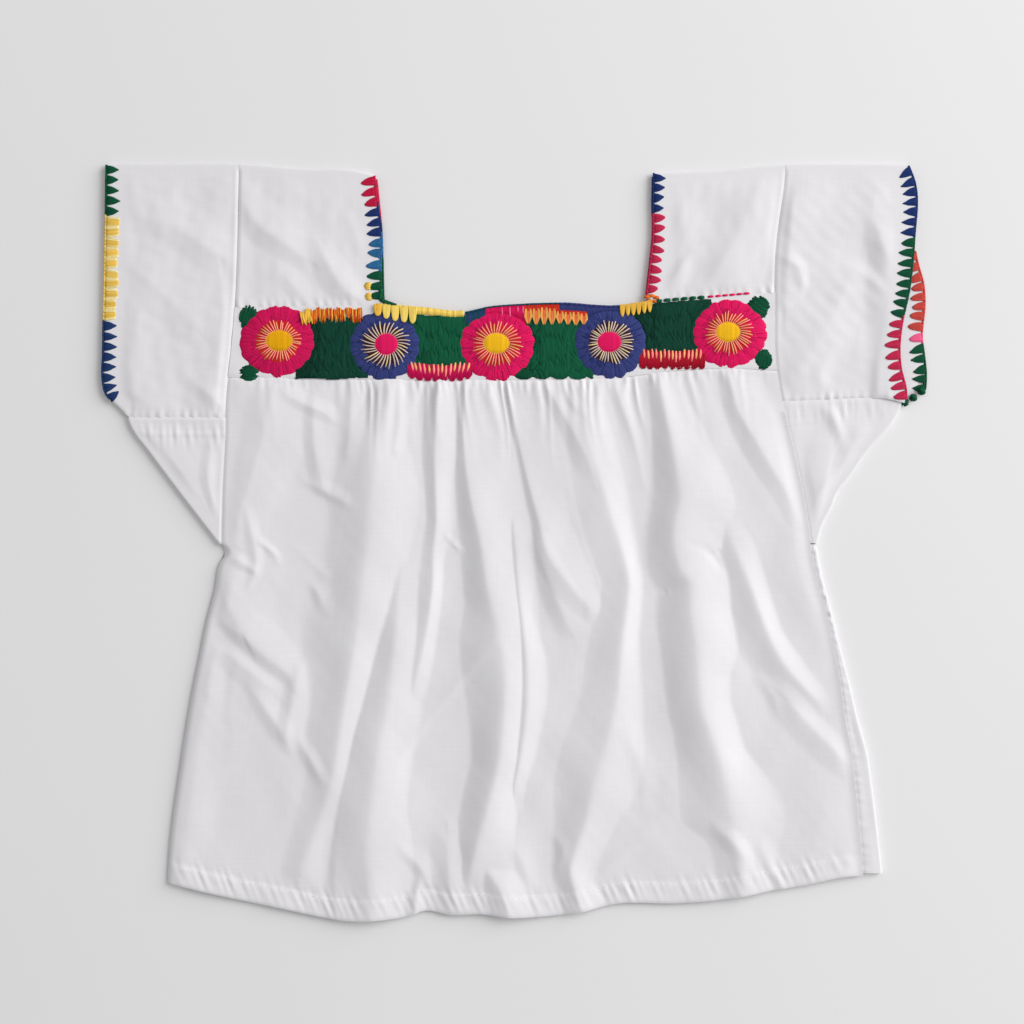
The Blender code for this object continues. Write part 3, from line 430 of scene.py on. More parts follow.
outline = {
    "cuffLeft": [(174, -187.2), (140, -187.7), (110, -188.3), (86, -188.8), (74, -188.9),
                 (68, -187.4), (64.5, -184.8)],
    "cuffRightFront": [(174, 179.8), (167, 182.6), (139, 182.6), (116, 180.3), (98, 176.6),
                       (88, 175.8), (79, 176.6), (70, 178.8), (63, 178.9)],
    "cuffRightBack": [(174, 179.8), (167, 182.6), (139, 182.9), (128, 184.9), (119, 187.4),
                      (111, 188), (94, 186.8), (84, 188), (75, 188.6), (69, 187.6), (63, 181.5)],
    "armholeLeft": [(174, -126.8), (135, -127.7), (112, -128.6), (88, -130.5), (66, -132.8),
                    (48, -133.2), (28, -134.2), (-1.5, -135)],
    "armholeRight": [(174, 124.5), (162, 123.5), (153, 122.2), (139, 120.3), (125, 119.4),
                     (111, 119.4), (79, 120.3), (63, 123.1), (47, 126.8), (33, 130), (19, 132.8),
                     (5, 135.1), (-1.5, 136.2)],
    "sideLeft": [(-1.5, -134.4), (-5, -132.8), (-8.5, -135.2), (-22, -138.3), (-36, -142),
                 (-52, -145.2), (-68, -148.4), (-87, -151.7), (-105, -154.4), (-124, -157.2),
                 (-140, -159), (-157, -160)],
    "sideRight": [(-1.5, 138.3), (-18, 141.6), (-31, 145.2), (-50, 149.8), (-64, 153.5), (-82, 157.7),
                  (-97, 161.8), (-110, 163.7), (-128, 166), (-153, 168.7)],
    "sideStrip": [(-1.5, 2.9), (-45, 3.2), (-96, 7.4), (-151, 9.2)],
    "gussetFoldLeft": [(58, -178.6), (54, -177.2), (41.5, -168.3), (26, -156.7), (11, -145.2),
                       (-1, -135.9)],
    "gussetFoldRight": [(63, 178), (54, 172.9), (44, 163.7), (31, 154.4), (24, 148.9), (17, 146.1),
                        (8, 141.5), (-1, 139.1)],
    "neckLeftFront": [(170, -65.4), (158, -64.2), (144, -62.2), (136, -61.8), (130, -62.3),
                      (112, -61.9)],
    "neckLeftBack": [(170, -65), (158, -63.7), (144, -62.4), (131, -61.9), (112, -61.4)],
    "neckRight": [(170, 64.4), (158, 64.1), (139, 64.1), (130, 63.1), (114, 61.3)],
    "shoulderLeft": [(-189, 173.8), (-156, 174), (-126, 173.9), (-99, 171.6), (-71, 170.2),
                     (-64, 168.4)],
    "shoulderRight": [(64, 169.6), (94, 170.8), (124, 173.6), (152, 173.9), (184, 173.6)],
    "sleeveEndLeft": [(-189, 65), (-185, 64.5), (-181, 61), (-177.4, 57.5), (-174, 57.2),
                      (-160, 57.2), (-132, 57.2)],
    "sleeveEndRight": [(120, 64.3), (140, 65), (158, 65.8), (170, 65.8), (179, 63.8), (189, 62.8)],
    "bandTop": [(-130, 108), (-60, 108), (-42, 106.4), (-24, 104.9), (-12, 107.4), (2, 108.6),
                (21, 109.2), (48, 108), (62, 110), (90, 112.4), (120, 115)],
    "bandBottom": [(-134, 75.6), (-76, 74.8), (-60, 74.5), (-8, 74.1), (20, 74.2), (44, 75.0),
                   (62, 77.2), (80, 79.2), (98, 79.7), (124, 78.6)],
    "bandBottomBack": [(-134, 75.6), (124, 77.6)],
    "hemFront": [(-161, -156.1), (-145, -160.4), (-122, -165.5), (-106, -168.7), (-90, -172.2),
                 (-77, -174), (-62, -173.6), (-47, -171.4), (-42, -169.6), (-30, -171.4),
                 (-16, -171), (-2, -172.4), (16, -171.8), (28, -170.4), (46, -166.4), (76, -166),
                 (99, -163.7), (118, -160.2), (131, -158.1), (150, -154.2), (170, -152.6)],
    "hemBack": [(-160, -155.3), (-145, -159), (-106, -167), (-77, -171.6), (-42, -168),
                (-2, -170), (46, -164.6), (99, -161.8), (131, -156.8), (150, -153.4), (169, -152)],
}
edge = {name: smoothLine(rows) for name, rows in outline.items()}

# The front lies over the back, and both are about half a millimetre thick
layers = {"cloth": 0.5, "frontTop": 2.4, "backTop": 0.6, "underside": 0.05, "turnedWidth": 4.0,
          "turnedEnd": -151.6, "step": 4, "sharpFrom": 52}
foldRadius = (layers["frontTop"] - layers["underside"]) / 2
foldMiddle = (layers["frontTop"] + layers["underside"]) / 2
# 1 is a round fold, and less is one that was pressed flat, with a narrower bend
foldPress = 0.42


def foldedShell(name, front, back, lift, outward, lengthAcross):
    # Cloth folded flat: both plan grids start at the fold, and outward is the plan direction of it.
    # The front's rows, the back's rows and the eight steps round the fold divide by step
    x, y = front
    top = layers["frontTop"] + lift
    under = lowest(top, layers["step"]) - layers["cloth"]
    outer = [np.stack([x[1:], y[1:], top[1:]])[:, ::-1]]
    inner = [np.stack([x[1:], y[1:], under[1:]])[:, ::-1]]
    turns = 9
    for radius, stations in ((foldRadius, outer), (foldRadius - layers["cloth"], inner)):
        arc = []
        for k in range(turns):
            angle = math.pi / 2 - k * math.pi / (turns - 1)
            share = k / (turns - 1)
            reach = radius * abs(math.cos(angle)) ** foldPress
            rise = radius * math.copysign(abs(math.sin(angle)) ** foldPress, math.sin(angle))
            ax = (1 - share) * x[0] + share * back[0][0] + outward[0] * reach
            ay = (1 - share) * y[0] + share * back[1][0] + outward[1] * reach
            arc.append(np.stack([ax, ay, np.full(len(ax), foldMiddle + rise)]))
        stations.append(np.stack(arc, 1))
    outer.append(np.stack([back[0][1:], back[1][1:], np.full(back[0][1:].shape, layers["underside"])]))
    inner.append(np.stack([back[0][1:], back[1][1:], np.full(back[0][1:].shape, layers["backTop"])]))
    outer, inner = (np.concatenate(part, axis=1) for part in (outer, inner))
    along = np.concatenate([[0], np.cumsum(np.hypot(*(np.diff(outer[:2], axis=1).mean(axis=2)))
                                           + np.abs(np.diff(outer[2], axis=0)).mean(axis=1))])
    u, v = np.meshgrid(evenly(outer.shape[2]) * lengthAcross, along)
    return clothShell(name, outer, inner, (u, v))

# Front body

frontBody = {
    "columns": 360,
    "rowSteps": (36, 188, 16),  # below the band, over the middle, and in the hem
    "bandZone": 22,
    "hemZone": 13,
    "hemDepth": 9.2,
    "gathers": 36,
    "gatherHeight": 1.0,
    "gatherFade": [(0, 0.5), (2.5, 1), (8, 0.9), (15, 0.5), (25, 0.18), (42, 0)],
    "gatherStrength": [(-132, 0.12), (-84, 0.35), (-70, 0.9), (78, 0.9), (92, 0.4), (122, 0.2)],
    "hemProfile": [(0, 0), (0.6, 0.45), (2.2, 0.55), (7.6, 0.45), (8.9, 0.28), (9.6, 0), (10.6, -0.05),
                   (13, 0)],
    # Slack in the cloth: height, squeeze along the body, length and seed
    "ripples": [(0.75, 0.6, 62, 11), (0.16, 0.7, 21, 12), (0.02, 0.8, 6, 13)],
    "highest": 6.0,
    "uvWidth": 330,
    "flat": (0.36, 0.258),
    "tall": [
        [(-58, 74, 5, 6, 1.5), (-61, 55, 9, 8, 2.0), (-64, 42, 12, 12, 2.5), (-66, 20, 14, 16, 3.0),
         (-69, -8, 16, 14, 3.6), (-71.5, -27, 18, 13, 4.2), (-74, -46, 18, 10, 4.0),
         (-78, -72, 12, 9, 3.4), (-81, -90, 11, 8, 3.0), (-84, -108, 9, 9, 2.2),
         (-90, -128, 8, 9, 1.6), (-98, -150, 7, 9, 1.0)],
        [(-34.5, 74, 2, 5, 1.6), (-36, 58, 2.5, 9, 2.0), (-36.5, 42, 3, 11, 2.2), (-36.5, 28, 3, 8, 1.8),
         (-36, 10, 3.5, 7, 1.6), (-37.5, -5, 4, 4, 1.2), (-38, -22, 5, 3.5, 1.4), (-41.5, -45, 6, 4, 1.4),
         (-46, -64, 6, 5, 1.2), (-49, -76, 5, 5, 0.6)],
        [(-53, -15, 4, 6, 0.5), (-54, -30, 6, 9, 1.4), (-55, -46, 8, 11, 2.2), (-58.5, -73, 12, 12, 3.0),
         (-63, -96, 14, 12, 3.6), (-66, -119, 15, 12, 4.0), (-67.5, -142, 14, 15, 3.6),
         (-66, -166, 13, 13, 3.0), (-66, -176, 12, 12, 2.6)],
        [(-23, 74, 2, 13, 1.2), (-23.5, 55, 2, 17, 1.7), (-23, 40, 2.5, 18, 2.2), (-20, 20, 3.5, 18, 2.8),
         (-15.5, 0, 6, 16, 3.4), (-12, -22, 8, 16, 4.0), (-8, -40, 13, 14, 4.2), (-5, -60, 14, 11, 4.2),
         (-5.5, -80, 12, 10, 4.2), (-7.5, -100, 10, 9, 4.4), (-12, -119, 7, 10, 4.2),
         (-16.5, -136, 5, 12, 3.6), (-19.5, -148, 5, 14, 2.2), (-21.5, -158, 7, 11, 0.8)],
        [(-14, -149, 5, 6, 1.2), (-6, -161, 6, 8, 2.4), (-3, -172, 6, 8, 2.0)],
        [(-31, -138, 6, 8, 0.6), (-30, -155, 6, 9, 1.6), (-28, -168, 6, 9, 1.2)],
        [(-3, 73, 2, 8, 0.6), (0, 55, 2, 12, 0.8), (5, 32, 2.2, 12, 1.0), (11, 10, 3, 10, 1.3),
         (15, -5, 5, 11, 2.0), (24, -18, 6, 9, 1.6), (34, -30, 5, 5, 0.8)],
        [(-2, 15, 4, 6, 0.6), (0, 0, 5, 7, 1.4), (1.5, -20, 6, 6, 1.8), (3.5, -38, 6, 5, 2.0),
         (5.5, -60, 7, 7, 2.2), (5, -80, 7, 6, 2.0), (2.5, -98, 6, 5, 1.8), (0, -110, 5, 4, 1.4),
         (-1.5, -120, 4, 4, 0.5)],
        [(30, 72, 4, 5, 0.8), (33, 52, 7, 8, 1.4), (38, 33, 9, 8, 1.8), (43, 15, 10, 8, 2.2),
         (49, -4, 10, 6, 2.4), (52, -17, 9, 4, 2.4), (51.5, -27, 9, 4, 2.4), (49, -46, 11, 6, 2.6),
         (46.5, -72, 12, 9, 2.8), (43.5, -86, 13, 12, 3.0), (40, -100, 14, 14, 3.2),
         (35.5, -114, 13, 14, 3.4), (32.5, -128, 11, 10, 3.4), (27.5, -142, 8, 9, 3.2),
         (25.5, -151, 6, 9, 3.0), (28, -160, 6, 8, 2.6), (30, -168, 6, 8, 2.2)],
        [(66, 76, 4, 6, 1.4), (69, 60, 5, 9, 2.2), (72, 46, 7, 12, 3.0), (74.5, 32, 9, 15, 3.8),
         (76, 20, 11, 18, 4.6), (74, 10, 10, 20, 5.0), (73.5, 0, 9, 20, 5.2), (76, -12, 10, 18, 5.2),
         (80.5, -19, 12, 16, 5.0), (81, -32, 12, 15, 5.0), (83.5, -50, 12, 14, 5.0),
         (85, -74, 11, 7, 4.8), (89, -86.7, 12, 7, 4.6), (93.6, -100.5, 14, 10, 4.4),
         (97, -114, 16, 15, 4.2), (99.5, -126, 16, 18, 3.8), (101, -137, 9, 16, 2.8),
         (103, -150, 8, 12, 2.4), (105, -165, 7, 10, 2.0)],
        [(96, 8, 9, 6, 0.6), (101, -4, 10, 7, 1.5), (107, -18, 10, 6, 2.2), (112, -32, 11, 5.5, 2.4),
         (117, -45, 11, 5.5, 2.4), (124, -57, 9, 6, 2.0), (133, -67, 7, 5, 1.4), (140, -74, 5, 4, 0.5)],
        [(98, 77, 4, 8, 1.0), (103, 60, 5, 13, 1.8), (110, 48, 6, 14, 2.0), (117, 36, 6, 12, 1.8),
         (124, 24, 5, 8, 1.2), (129, 12, 4, 5, 0.4)],
    ],
    "creases": [
        [(-53, 74, 2, 3.5, 1.0), (-53, 58, 2, 3.5, 1.0), (-55, 42, 2, 3, 0.5)],
        [(14.5, 72, 3, 4, 0.8), (19, 64, 3, 5, 1.2), (26, 52, 4, 5, 1.4), (32, 40, 5, 4, 1.2),
         (36, 30, 5, 3, 0.4)],
        [(22, 74, 2, 3, 0.8), (25, 66, 2, 3, 0.9), (29, 60, 2, 3, 0.3)],
        [(45, 74, 3, 3, 1.0), (50, 60, 3, 3.5, 1.1), (55, 45, 4, 3.5, 1.1), (58.5, 30, 4, 3, 0.8),
         (61, 20, 4, 3, 0.2)],
        [(119, -66, 5, 3.5, 0.6), (124, -71, 6, 4.5, 1.6), (134, -83, 7, 5, 1.9), (144, -93, 7, 5, 1.9),
         (152, -101, 6, 4, 1.5), (158, -104, 5, 3, 0.6)],
        [(81, -1, 2, 2, -0.3), (88, -4, 2.4, 2.4, -0.6), (94, -11, 2, 2, -0.5)],
        [(93, -132, 3, 4, 0.8), (98, -136, 4, 4, 1.8), (104, -143, 4, 4, 1.6), (105, -150, 4, 4, 0.8)],
        [(113, -140, 3, 4, 0.6), (118, -150, 3, 4, 1.2), (123, -159, 3, 4, 0.8)],
        [(-99, -91, 3, 3, 0.5), (-94, -100, 3, 3.5, 1.5), (-89, -109, 3, 3, 0.8)],
        [(-99, -59, 3, 5, 0.6), (-102, -72, 4, 6, 1.6), (-104.5, -86, 4, 6, 1.6), (-104, -94, 3, 4, 0.6)],
        [(-135, -36, 3, 8, 0.8), (-124, -44, 3.5, 10, 1.8), (-114, -53, 4, 10, 2.0),
         (-105, -60, 4, 8, 1.6), (-102, -66, 3, 5, 0.5)],
        [(-134, -50, 5, 3, 0.4), (-128, -54, 6, 4, 1.3), (-119, -62, 6, 4, 1.3), (-110, -69, 6, 4, 0.6)],
        [(-121, -68, 3, 4, 0.4), (-115, -76, 4, 5, 1.5), (-109, -85, 4, 5, 1.5), (-105, -92, 4, 4, 0.5)],
        [(-139, -52, 3, 5, 0.5), (-141, -68, 3, 5, 0.4)],
        [(-129, -60, 3, 5, 0.4), (-131, -80, 3, 6, 0.3)],
        [(-134, -4, 1.6, 1.6, 1.2), (-127, -8.5, 1.6, 1.6, 1.3), (-120, -13, 1.6, 2, 0.8)],
        [(-123, 12, 2, 3, 0.5), (-120, 0, 3, 3, 1.0), (-119, -12, 3, 3, 1.0), (-122, -20, 2, 2, 0.3)],
        [(-117, 0, 1.8, 2, 0.6), (-111, -5, 1.8, 2, 0.9), (-109, -9, 1.5, 2, 0.3)],
        [(-101, -2, 3, 3, 0.5), (-94, -9, 3, 3.5, 1.1), (-88, -15, 3, 3, 0.6)],
        [(-137, -12, 3, 14, 1.2), (-133, -25, 5, 16, 1.8), (-126, -40, 6, 14, 1.4)],
        [(-149, -65, 3, 12, 1.0), (-152, -95, 3, 13, 1.3), (-154, -125, 4, 14, 1.3),
         (-155, -140, 4, 12, 1.0)],
        [(-112, 67, 8, 12, 1.2), (-116, 47, 8, 14, 1.8), (-121, 30, 7, 13, 1.8), (-127, 10, 6, 8, 1.2),
         (-130, 0, 4, 4, 0.3)],
        [(-92, 68, 3, 6, 0.6), (-92.5, 52, 4, 9, 1.7), (-91, 38, 4, 9, 1.7), (-88, 25, 4, 7, 0.8)],
        [(-104, 67, 2.5, 4, 0.5), (-96, 63, 3, 4, 1.3), (-87, 59, 3, 4, 1.1), (-83, 55, 2, 3, 0.3)],
        [(-97, 28, 2, 4, 0.3), (-89, 24, 2.5, 4, 1.1), (-80, 19.5, 2.5, 4, 1.1), (-76, 17, 2, 3, 0.3)],
        [(-96, -17, 3, 4, 0.4), (-91, -23, 3, 5, 1.3), (-88, -30, 3, 4, 0.5)],
        [(-75, 74, 2.5, 4, 1.0), (-75.5, 58, 3, 5, 1.4), (-77, 42, 4, 4, 1.0), (-80, 28, 5, 4, 0.4)],
        [(-31, 2, 1.5, 2, 0.5), (-26, -3, 1.5, 2, 0.7), (-25, -5, 1.5, 2, 0.2)],
        [(-10, -46, 5, 3, 0.3), (-27, -66, 6, 3, 0.8), (-45, -89, 6, 3, 0.8), (-54, -100, 4, 3, 0.3)],
        [(62, -133, 4, 4, 0.3), (50, -143, 5, 4, 1.0), (38, -153, 4, 3, 0.6)],
        [(-51, -142, 3, 4, 0.5), (-44, -149, 3, 5, 1.2), (-40, -157, 3, 4, 0.6)],
        [(-44, -156, 2, 2, 0.5), (-45.5, -163, 2, 1.8, 1.6), (-46, -171, 2, 1.8, 1.6)],
        [(10, 0, 3, 5, 0.5), (15, -16, 4, 7, 1.7), (20, -28, 5, 8, 1.9), (24, -38, 5, 6, 1.0)],
        [(-82, -138, 4, 8, 0.5), (-82.5, -152, 4, 9, 1.1), (-82, -172, 4, 9, 1.1)],
        [(17, -134, 3, 3, 0.4), (22, -141, 3, 3, 0.7), (20, -149, 2, 3, 0.4)],
        [(-1, -140, 3, 4, 0.3), (4, -148, 3, 4, 0.6), (6, -157, 3, 4, 0.4)],
        [(52, -88, 4, 5, 0.4), (58, -104, 4, 5, 0.6), (60, -122, 4, 5, 0.4)],
        [(112, -62, 3, 3, 0.5), (118, -70, 3, 3, 0.7), (121, -79, 3, 3, 0.3)],
    ],
}


def bodyLeft(y):
    return np.where(y > outline["sideLeft"][0][0], edge["armholeLeft"](y) - 0.1, edge["sideLeft"](y))


def bodyRight(y):
    # Below the gusset the front's seam allowance lies over the edge of the back
    lower = edge["sideRight"](y) - edge["sideStrip"](y) + 0.35
    return np.where(y > outline["sideRight"][0][0], np.minimum(edge["armholeRight"](y) + 0.1, lower), lower)


def makeFrontBody():
    wish = frontBody
    share = evenly(wish["columns"] + 1)
    crowded = share + 0.2 * np.sin(math.tau * share) / math.tau
    across = crowded + 0.05 * (np.sin(14 * math.pi * share) / 14 + np.sin(22 * math.pi * share) / 22)
    top, hem = shifted(edge["bandBottom"], 0.5), edge["hemFront"]
    full = top(0) - hem(0)
    bandRows, middleRows, hemRows = wish["rowSteps"]
    down = np.concatenate([np.linspace(0, wish["bandZone"], bandRows + 1)[:-1],
                           np.linspace(wish["bandZone"], full - wish["hemZone"], middleRows + 1)[:-1],
                           np.linspace(full - wish["hemZone"], full, hemRows + 1)]) / full
    x, y = planGrid(bodyLeft, bodyRight, top, hem, across, down)
    below, above = top(x) - y, y - hem(x)
    tall, creases = foldsAt(x, y, wish["tall"], True), 0.6 * foldsAt(x, y, wish["creases"])
    lift = tall + creases

    # Gathers: uneven pleats that the band holds, with tight little ones in its seam
    swing = wish["gathers"] * share + 0.35 * np.sin(9 * math.pi * share)
    swing += 0.25 * np.sin(23 * math.pi * share + 1)
    wander = 0.25 * np.sin(below / 9 + 17 * share)
    wave = (0.5 + 0.5 * np.cos(math.tau * (swing + wander))) ** 1.3
    uneven = 0.55 + 0.45 * np.sin(41 * share + 2) * np.sin(67 * share + 1)
    strength = np.interp(x, *zip(*wish["gatherStrength"]))
    lift += wish["gatherHeight"] * wave * uneven * np.interp(below, *zip(*wish["gatherFade"])) * strength
    lift += puckers(x, below, 4.5, 0.55, (2.9, 4.1, 5.3), 3) * (0.35 + 0.65 * strength)

    # The hem is turned up and stitched, and the stitches pucker it
    fromStitch = above - wish["hemDepth"]
    bursts = 0.45 + 0.55 * smoothStep(ripple(x, 0 * y, 44, 17), -0.6, 0.7)
    lift += bursts * puckers(x + 0.35 * fromStitch, fromStitch + 2.6, 5.2, 0.36, (3.3, 4.6, 6.9), 5)
    lift += np.interp(above, *zip(*wish["hemProfile"]))
    lift += sum(height * ripple(x, squeeze * y, length, seed)
                for height, squeeze, length, seed in wish["ripples"])
    lift = np.where(lift > 0, wish["highest"] * np.tanh(lift / wish["highest"]), 0.6 * np.tanh(lift / 0.6))

    # Edges: the side seams meet the back, and the other seams dip a little
    lower = y < outline["sideLeft"][0][0]
    left, right = x - bodyLeft(y), bodyRight(y) - x
    lift *= smoothStep(left, -1, 9) * smoothStep(right, -1, 8) * (0.45 + 0.55 * smoothStep(below, 0, 5))
    dip = np.where(lower, 1.35, 0.5) * dipBy(left, np.where(lower, 1.8, 1.3))
    dip += 0.5 * dipBy(below, 1.4) - 0.4 * ridgeBy(right, 0, 1.3) * (y < 60)
    z = layers["frontTop"] + lift - dip
    inner = lowest(z, layers["step"]) - layers["cloth"]
    inner = np.maximum(inner, layers["backTop"] + 0.02)
    piece = clothShell("frontBody", (x, y, z), (x, y, np.minimum(inner, z - 0.25)),
                       (wish["uvWidth"] * share + 0 * x, below))
    dress(piece, "white_cotton", "front_body")
    return x, y, z


frontGrid = makeFrontBody()
print("front body made")

# Back body, with the edge that comes round to the front on the right

backBody = {"columns": 80, "rows": 72, "flat": (0.33, 0.255), "turnedFlat": (0.0125, 0.151)}


def backRight(y):
    lower = edge["sideRight"](y) - layers["turnedWidth"] - 0.1
    return np.where(y > outline["sideRight"][0][0], np.minimum(edge["armholeRight"](y) - 0.1, lower), lower)


def makeBackBody():
    top = edge["bandBottomBack"]
    x, y = planGrid(bodyLeft, backRight, top, edge["hemBack"], evenly(backBody["columns"] + 1),
                    evenly(backBody["rows"] + 1))
    soft = 0.08 * ripple(x, y, 30, 21) + 0.03 * ripple(x, y, 9, 22)
    rim = np.minimum.reduce([x - bodyLeft(y), top(x) - y, y - edge["hemBack"](x)])
    upper = layers["backTop"] + soft * smoothStep(rim, 0, 6)
    under = np.full(x.shape, layers["underside"])
    curl = 0.35 * dipBy(x - bodyLeft(y), 2.5) * (y < outline["sideLeft"][0][0])
    piece = clothShell("backBody", (x, y, upper + curl), (x, y, under + 0.8 * curl), (x, y))
    dress(piece, "white_cotton", "back_body")

    y = np.linspace(outline["sideRight"][0][0] + 0.5, layers["turnedEnd"] - 0.6, 153)
    side = edge["sideRight"](y)
    foldX = side - foldRadius
    seamX = side - edge["sideStrip"](y) + 0.1
    u = evenly(9)[:, None]
    front = ((1 - u) * foldX + u * seamX, 0 * u + y)
    back = ((1 - u) * foldX + u * (side - layers["turnedWidth"]), 0 * u + y)
    fromSeam = front[0] - seamX
    lift = 0.28 * ripple(*front, 26, 23) * smoothStep(fromSeam, 0, 3) * smoothStep(side - front[0], 1, 4)
    lift = lift + puckers(front[1], fromSeam, 2.6, 0.3, (4.1, 6.7), 24) - 0.45 * dipBy(fromSeam, 1.6)
    piece = foldedShell("backTurnedEdge", front, back, lift, (1, 0), 150)
    dress(piece, "white_cotton", "back_body_turned_edge")


makeBackBody()
print("back body made")

# Bands that join the straps to the gathered bodies

bands = {"columns": 128, "rows": 24, "flat": (0.256, 0.037)}


def makeBand(name, node, top, bottomEdge):
    upperEdge, lowerEdge = shifted(edge["bandTop"], -0.1), shifted(edge[bottomEdge], 0.1)
    x, y = planGrid(edge["armholeLeft"], edge["armholeRight"], upperEdge, lowerEdge,
                    evenly(bands["columns"] + 1), evenly(bands["rows"] + 1))
    fromTop, fromBottom = upperEdge(x) - y, y - lowerEdge(x)
    lift = 0.10 * ripple(x, y, 14, 31) + 0.22 * ridgeBy(fromBottom, 1.2, 1.0)
    lift += puckers(x, fromBottom, 3, 0.12, (3.3, 5.1), 32)
    lift *= smoothStep(fromTop, 0, 2) * smoothStep(fromBottom, -0.5, 0.8)
    lift -= 0.2 * dipBy(fromBottom, 0.9)
    z = top + lift * (1 if top > 1 else 0.3)
    under = lowest(z, layers["step"]) - layers["cloth"] if top > 1 else np.full(x.shape, layers["underside"])
    piece = clothShell(name, (x, y, z), (x, y, under), (x, y))
    dress(piece, "white_cotton", node)


makeBand("frontBand", "front_band", layers["frontTop"], "bandBottom")
makeBand("backBand", "back_band", layers["backTop"], "bandBottomBack")

# Sleeves: one rectangle each, folded over the shoulder

sleeves = {
    "across": 64, "frontRows": 112, "backRows": 24,
    "flat": (0.062, 0.232),
    "foldShare": 0.75, "ripples": [(0.28, 27, 41), (0.06, 8, 43)],
    "cuffLift": 1.4, "cuffLiftFrom": (160, 166), "cuffLiftRun": (12, 32),
    "left": [
        [(-175, 150, 5, 8, 0.3), (-160, 146, 7, 10, 0.9), (-145, 138, 7, 10, 1.3), (-132, 130, 7, 8, 1.0)],
        [(-180, 130, 6, 12, 0.5), (-165, 118, 8, 14, 1.0), (-148, 100, 8, 10, 0.8)],
        [(-178, 100, 5, 14, 0.5), (-177, 85, 6, 18, 1.3), (-176, 68, 6, 18, 1.3)],
        [(-135, 120, 10, 4, 0.6), (-134, 100, 14, 4, 1.4), (-136, 80, 16, 3, 1.6), (-137, 64, 14, 3, 1.2)],
        [(-150, 76, 4, 5, 0.3), (-142, 69, 4, 5, 0.8), (-136, 64, 3, 4, 0.5)],
    ],
    "right": [
        [(154, 121, 6, 6, 0.6), (146.5, 105, 12, 9, 1.6), (137, 88, 14, 12, 1.8), (129, 78, 10, 10, 1.0)],
        [(165, 148, 4, 4, 0.4), (168, 138, 6, 6, 1.2), (172, 127, 5, 5, 0.6)],
        [(152, 128, 2.5, 3, 0.2), (161, 122, 3, 3.5, 0.7), (168, 117, 3, 3, 0.4)],
        [(128, 168, 3, 20, 0.5), (127, 150, 4, 20, 1.4), (125, 125, 4, 16, 1.2), (124, 110, 4, 12, 0.6)],
        [(166, 166, 12, 5, 0.5), (164, 152, 14, 6, 0.9), (162, 138, 10, 5, 0.3)],
        [(122, 131, 2, 3, 0.5), (129, 127, 3, 3.5, 1.0), (132, 120, 3, 2.5, 0.8), (131, 114, 2, 2, 0.2)],
        [(170, 95, 2.5, 3, 0.6), (167.5, 80, 2.5, 4, 1.2), (166.5, 70, 2.5, 4, 0.8)],
        [(146, 90, 4, 4, 0.3), (140, 76, 4, 4, 0.6), (144, 68, 3, 4, 0.3)],
    ],
}


def cuffLift(x, y):
    # The front of the right cuff lies on the border of the back one
    fromX, fromY = sleeves["cuffLiftFrom"]
    runX, runY = sleeves["cuffLiftRun"]
    return sleeves["cuffLift"] * smoothStep(x, fromX, fromX + runX) * smoothStep(fromY - y, 0, runY)


def makeSleeve(side, cuffFront, cuffBack):
    word = "Left" if side < 0 else "Right"
    top = shifted(edge["shoulder" + word], -foldRadius)
    lower = shifted(edge["sleeveEnd" + word], 0.05)
    seam = shifted(edge["armhole" + word], side * 0.05)

    def layer(cuff, rows):
        sides = (cuff, seam) if side < 0 else (seam, cuff)
        return planGrid(*sides, top, lower, evenly(sleeves["across"] + 1), evenly(rows + 1))

    front, back = layer(edge[cuffFront], sleeves["frontRows"]), layer(edge[cuffBack], sleeves["backRows"])
    x, y = front
    fromFold, fromEnd = top(x) - y, y - lower(x)
    fromCuff, fromSeam = side * (edge[cuffFront](y) - x), side * (x - seam(y))
    lift = slack(x, y, sleeves, side)
    lift *= smoothStep(fromFold, 0, 12) * smoothStep(fromCuff, 5, 16) * smoothStep(fromSeam, -2, 6)
    lift *= smoothStep(fromEnd, -2, 6)
    lift += puckers(x, fromEnd, 3.0, 0.3, (3.9, 5.3), 44) * smoothStep(fromCuff, 4, 10)
    # The seam allowance lies towards the sleeve on the left and towards the strap on the right
    ridge, endDip = (0.18, 0.25) if side < 0 else (0.05, 0.5)
    lift += ridge * ridgeBy(fromSeam, 1.1, 0.9) * (y > 66) * smoothStep(fromFold, 0, 4)
    lift -= 0.45 * dipBy(fromSeam, 1.1) * smoothStep(fromFold, 0, 3)
    lift -= endDip * dipBy(fromEnd, 1.2) + 0.25 * dipBy(fromCuff, 1.2) * smoothStep(fromFold, 0, 3)
    if side > 0:
        lift += cuffLift(x, y)
    piece = foldedShell("sleeve" + word, front, back, lift, (0, 1), 56)
    dress(piece, "white_cotton", "sleeve_" + word.lower())


makeSleeve(-1, "cuffLeft", "cuffLeft")
makeSleeve(1, "cuffRightFront", "cuffRightBack")
print("sleeves made")

# Straps between the neck and the sleeves

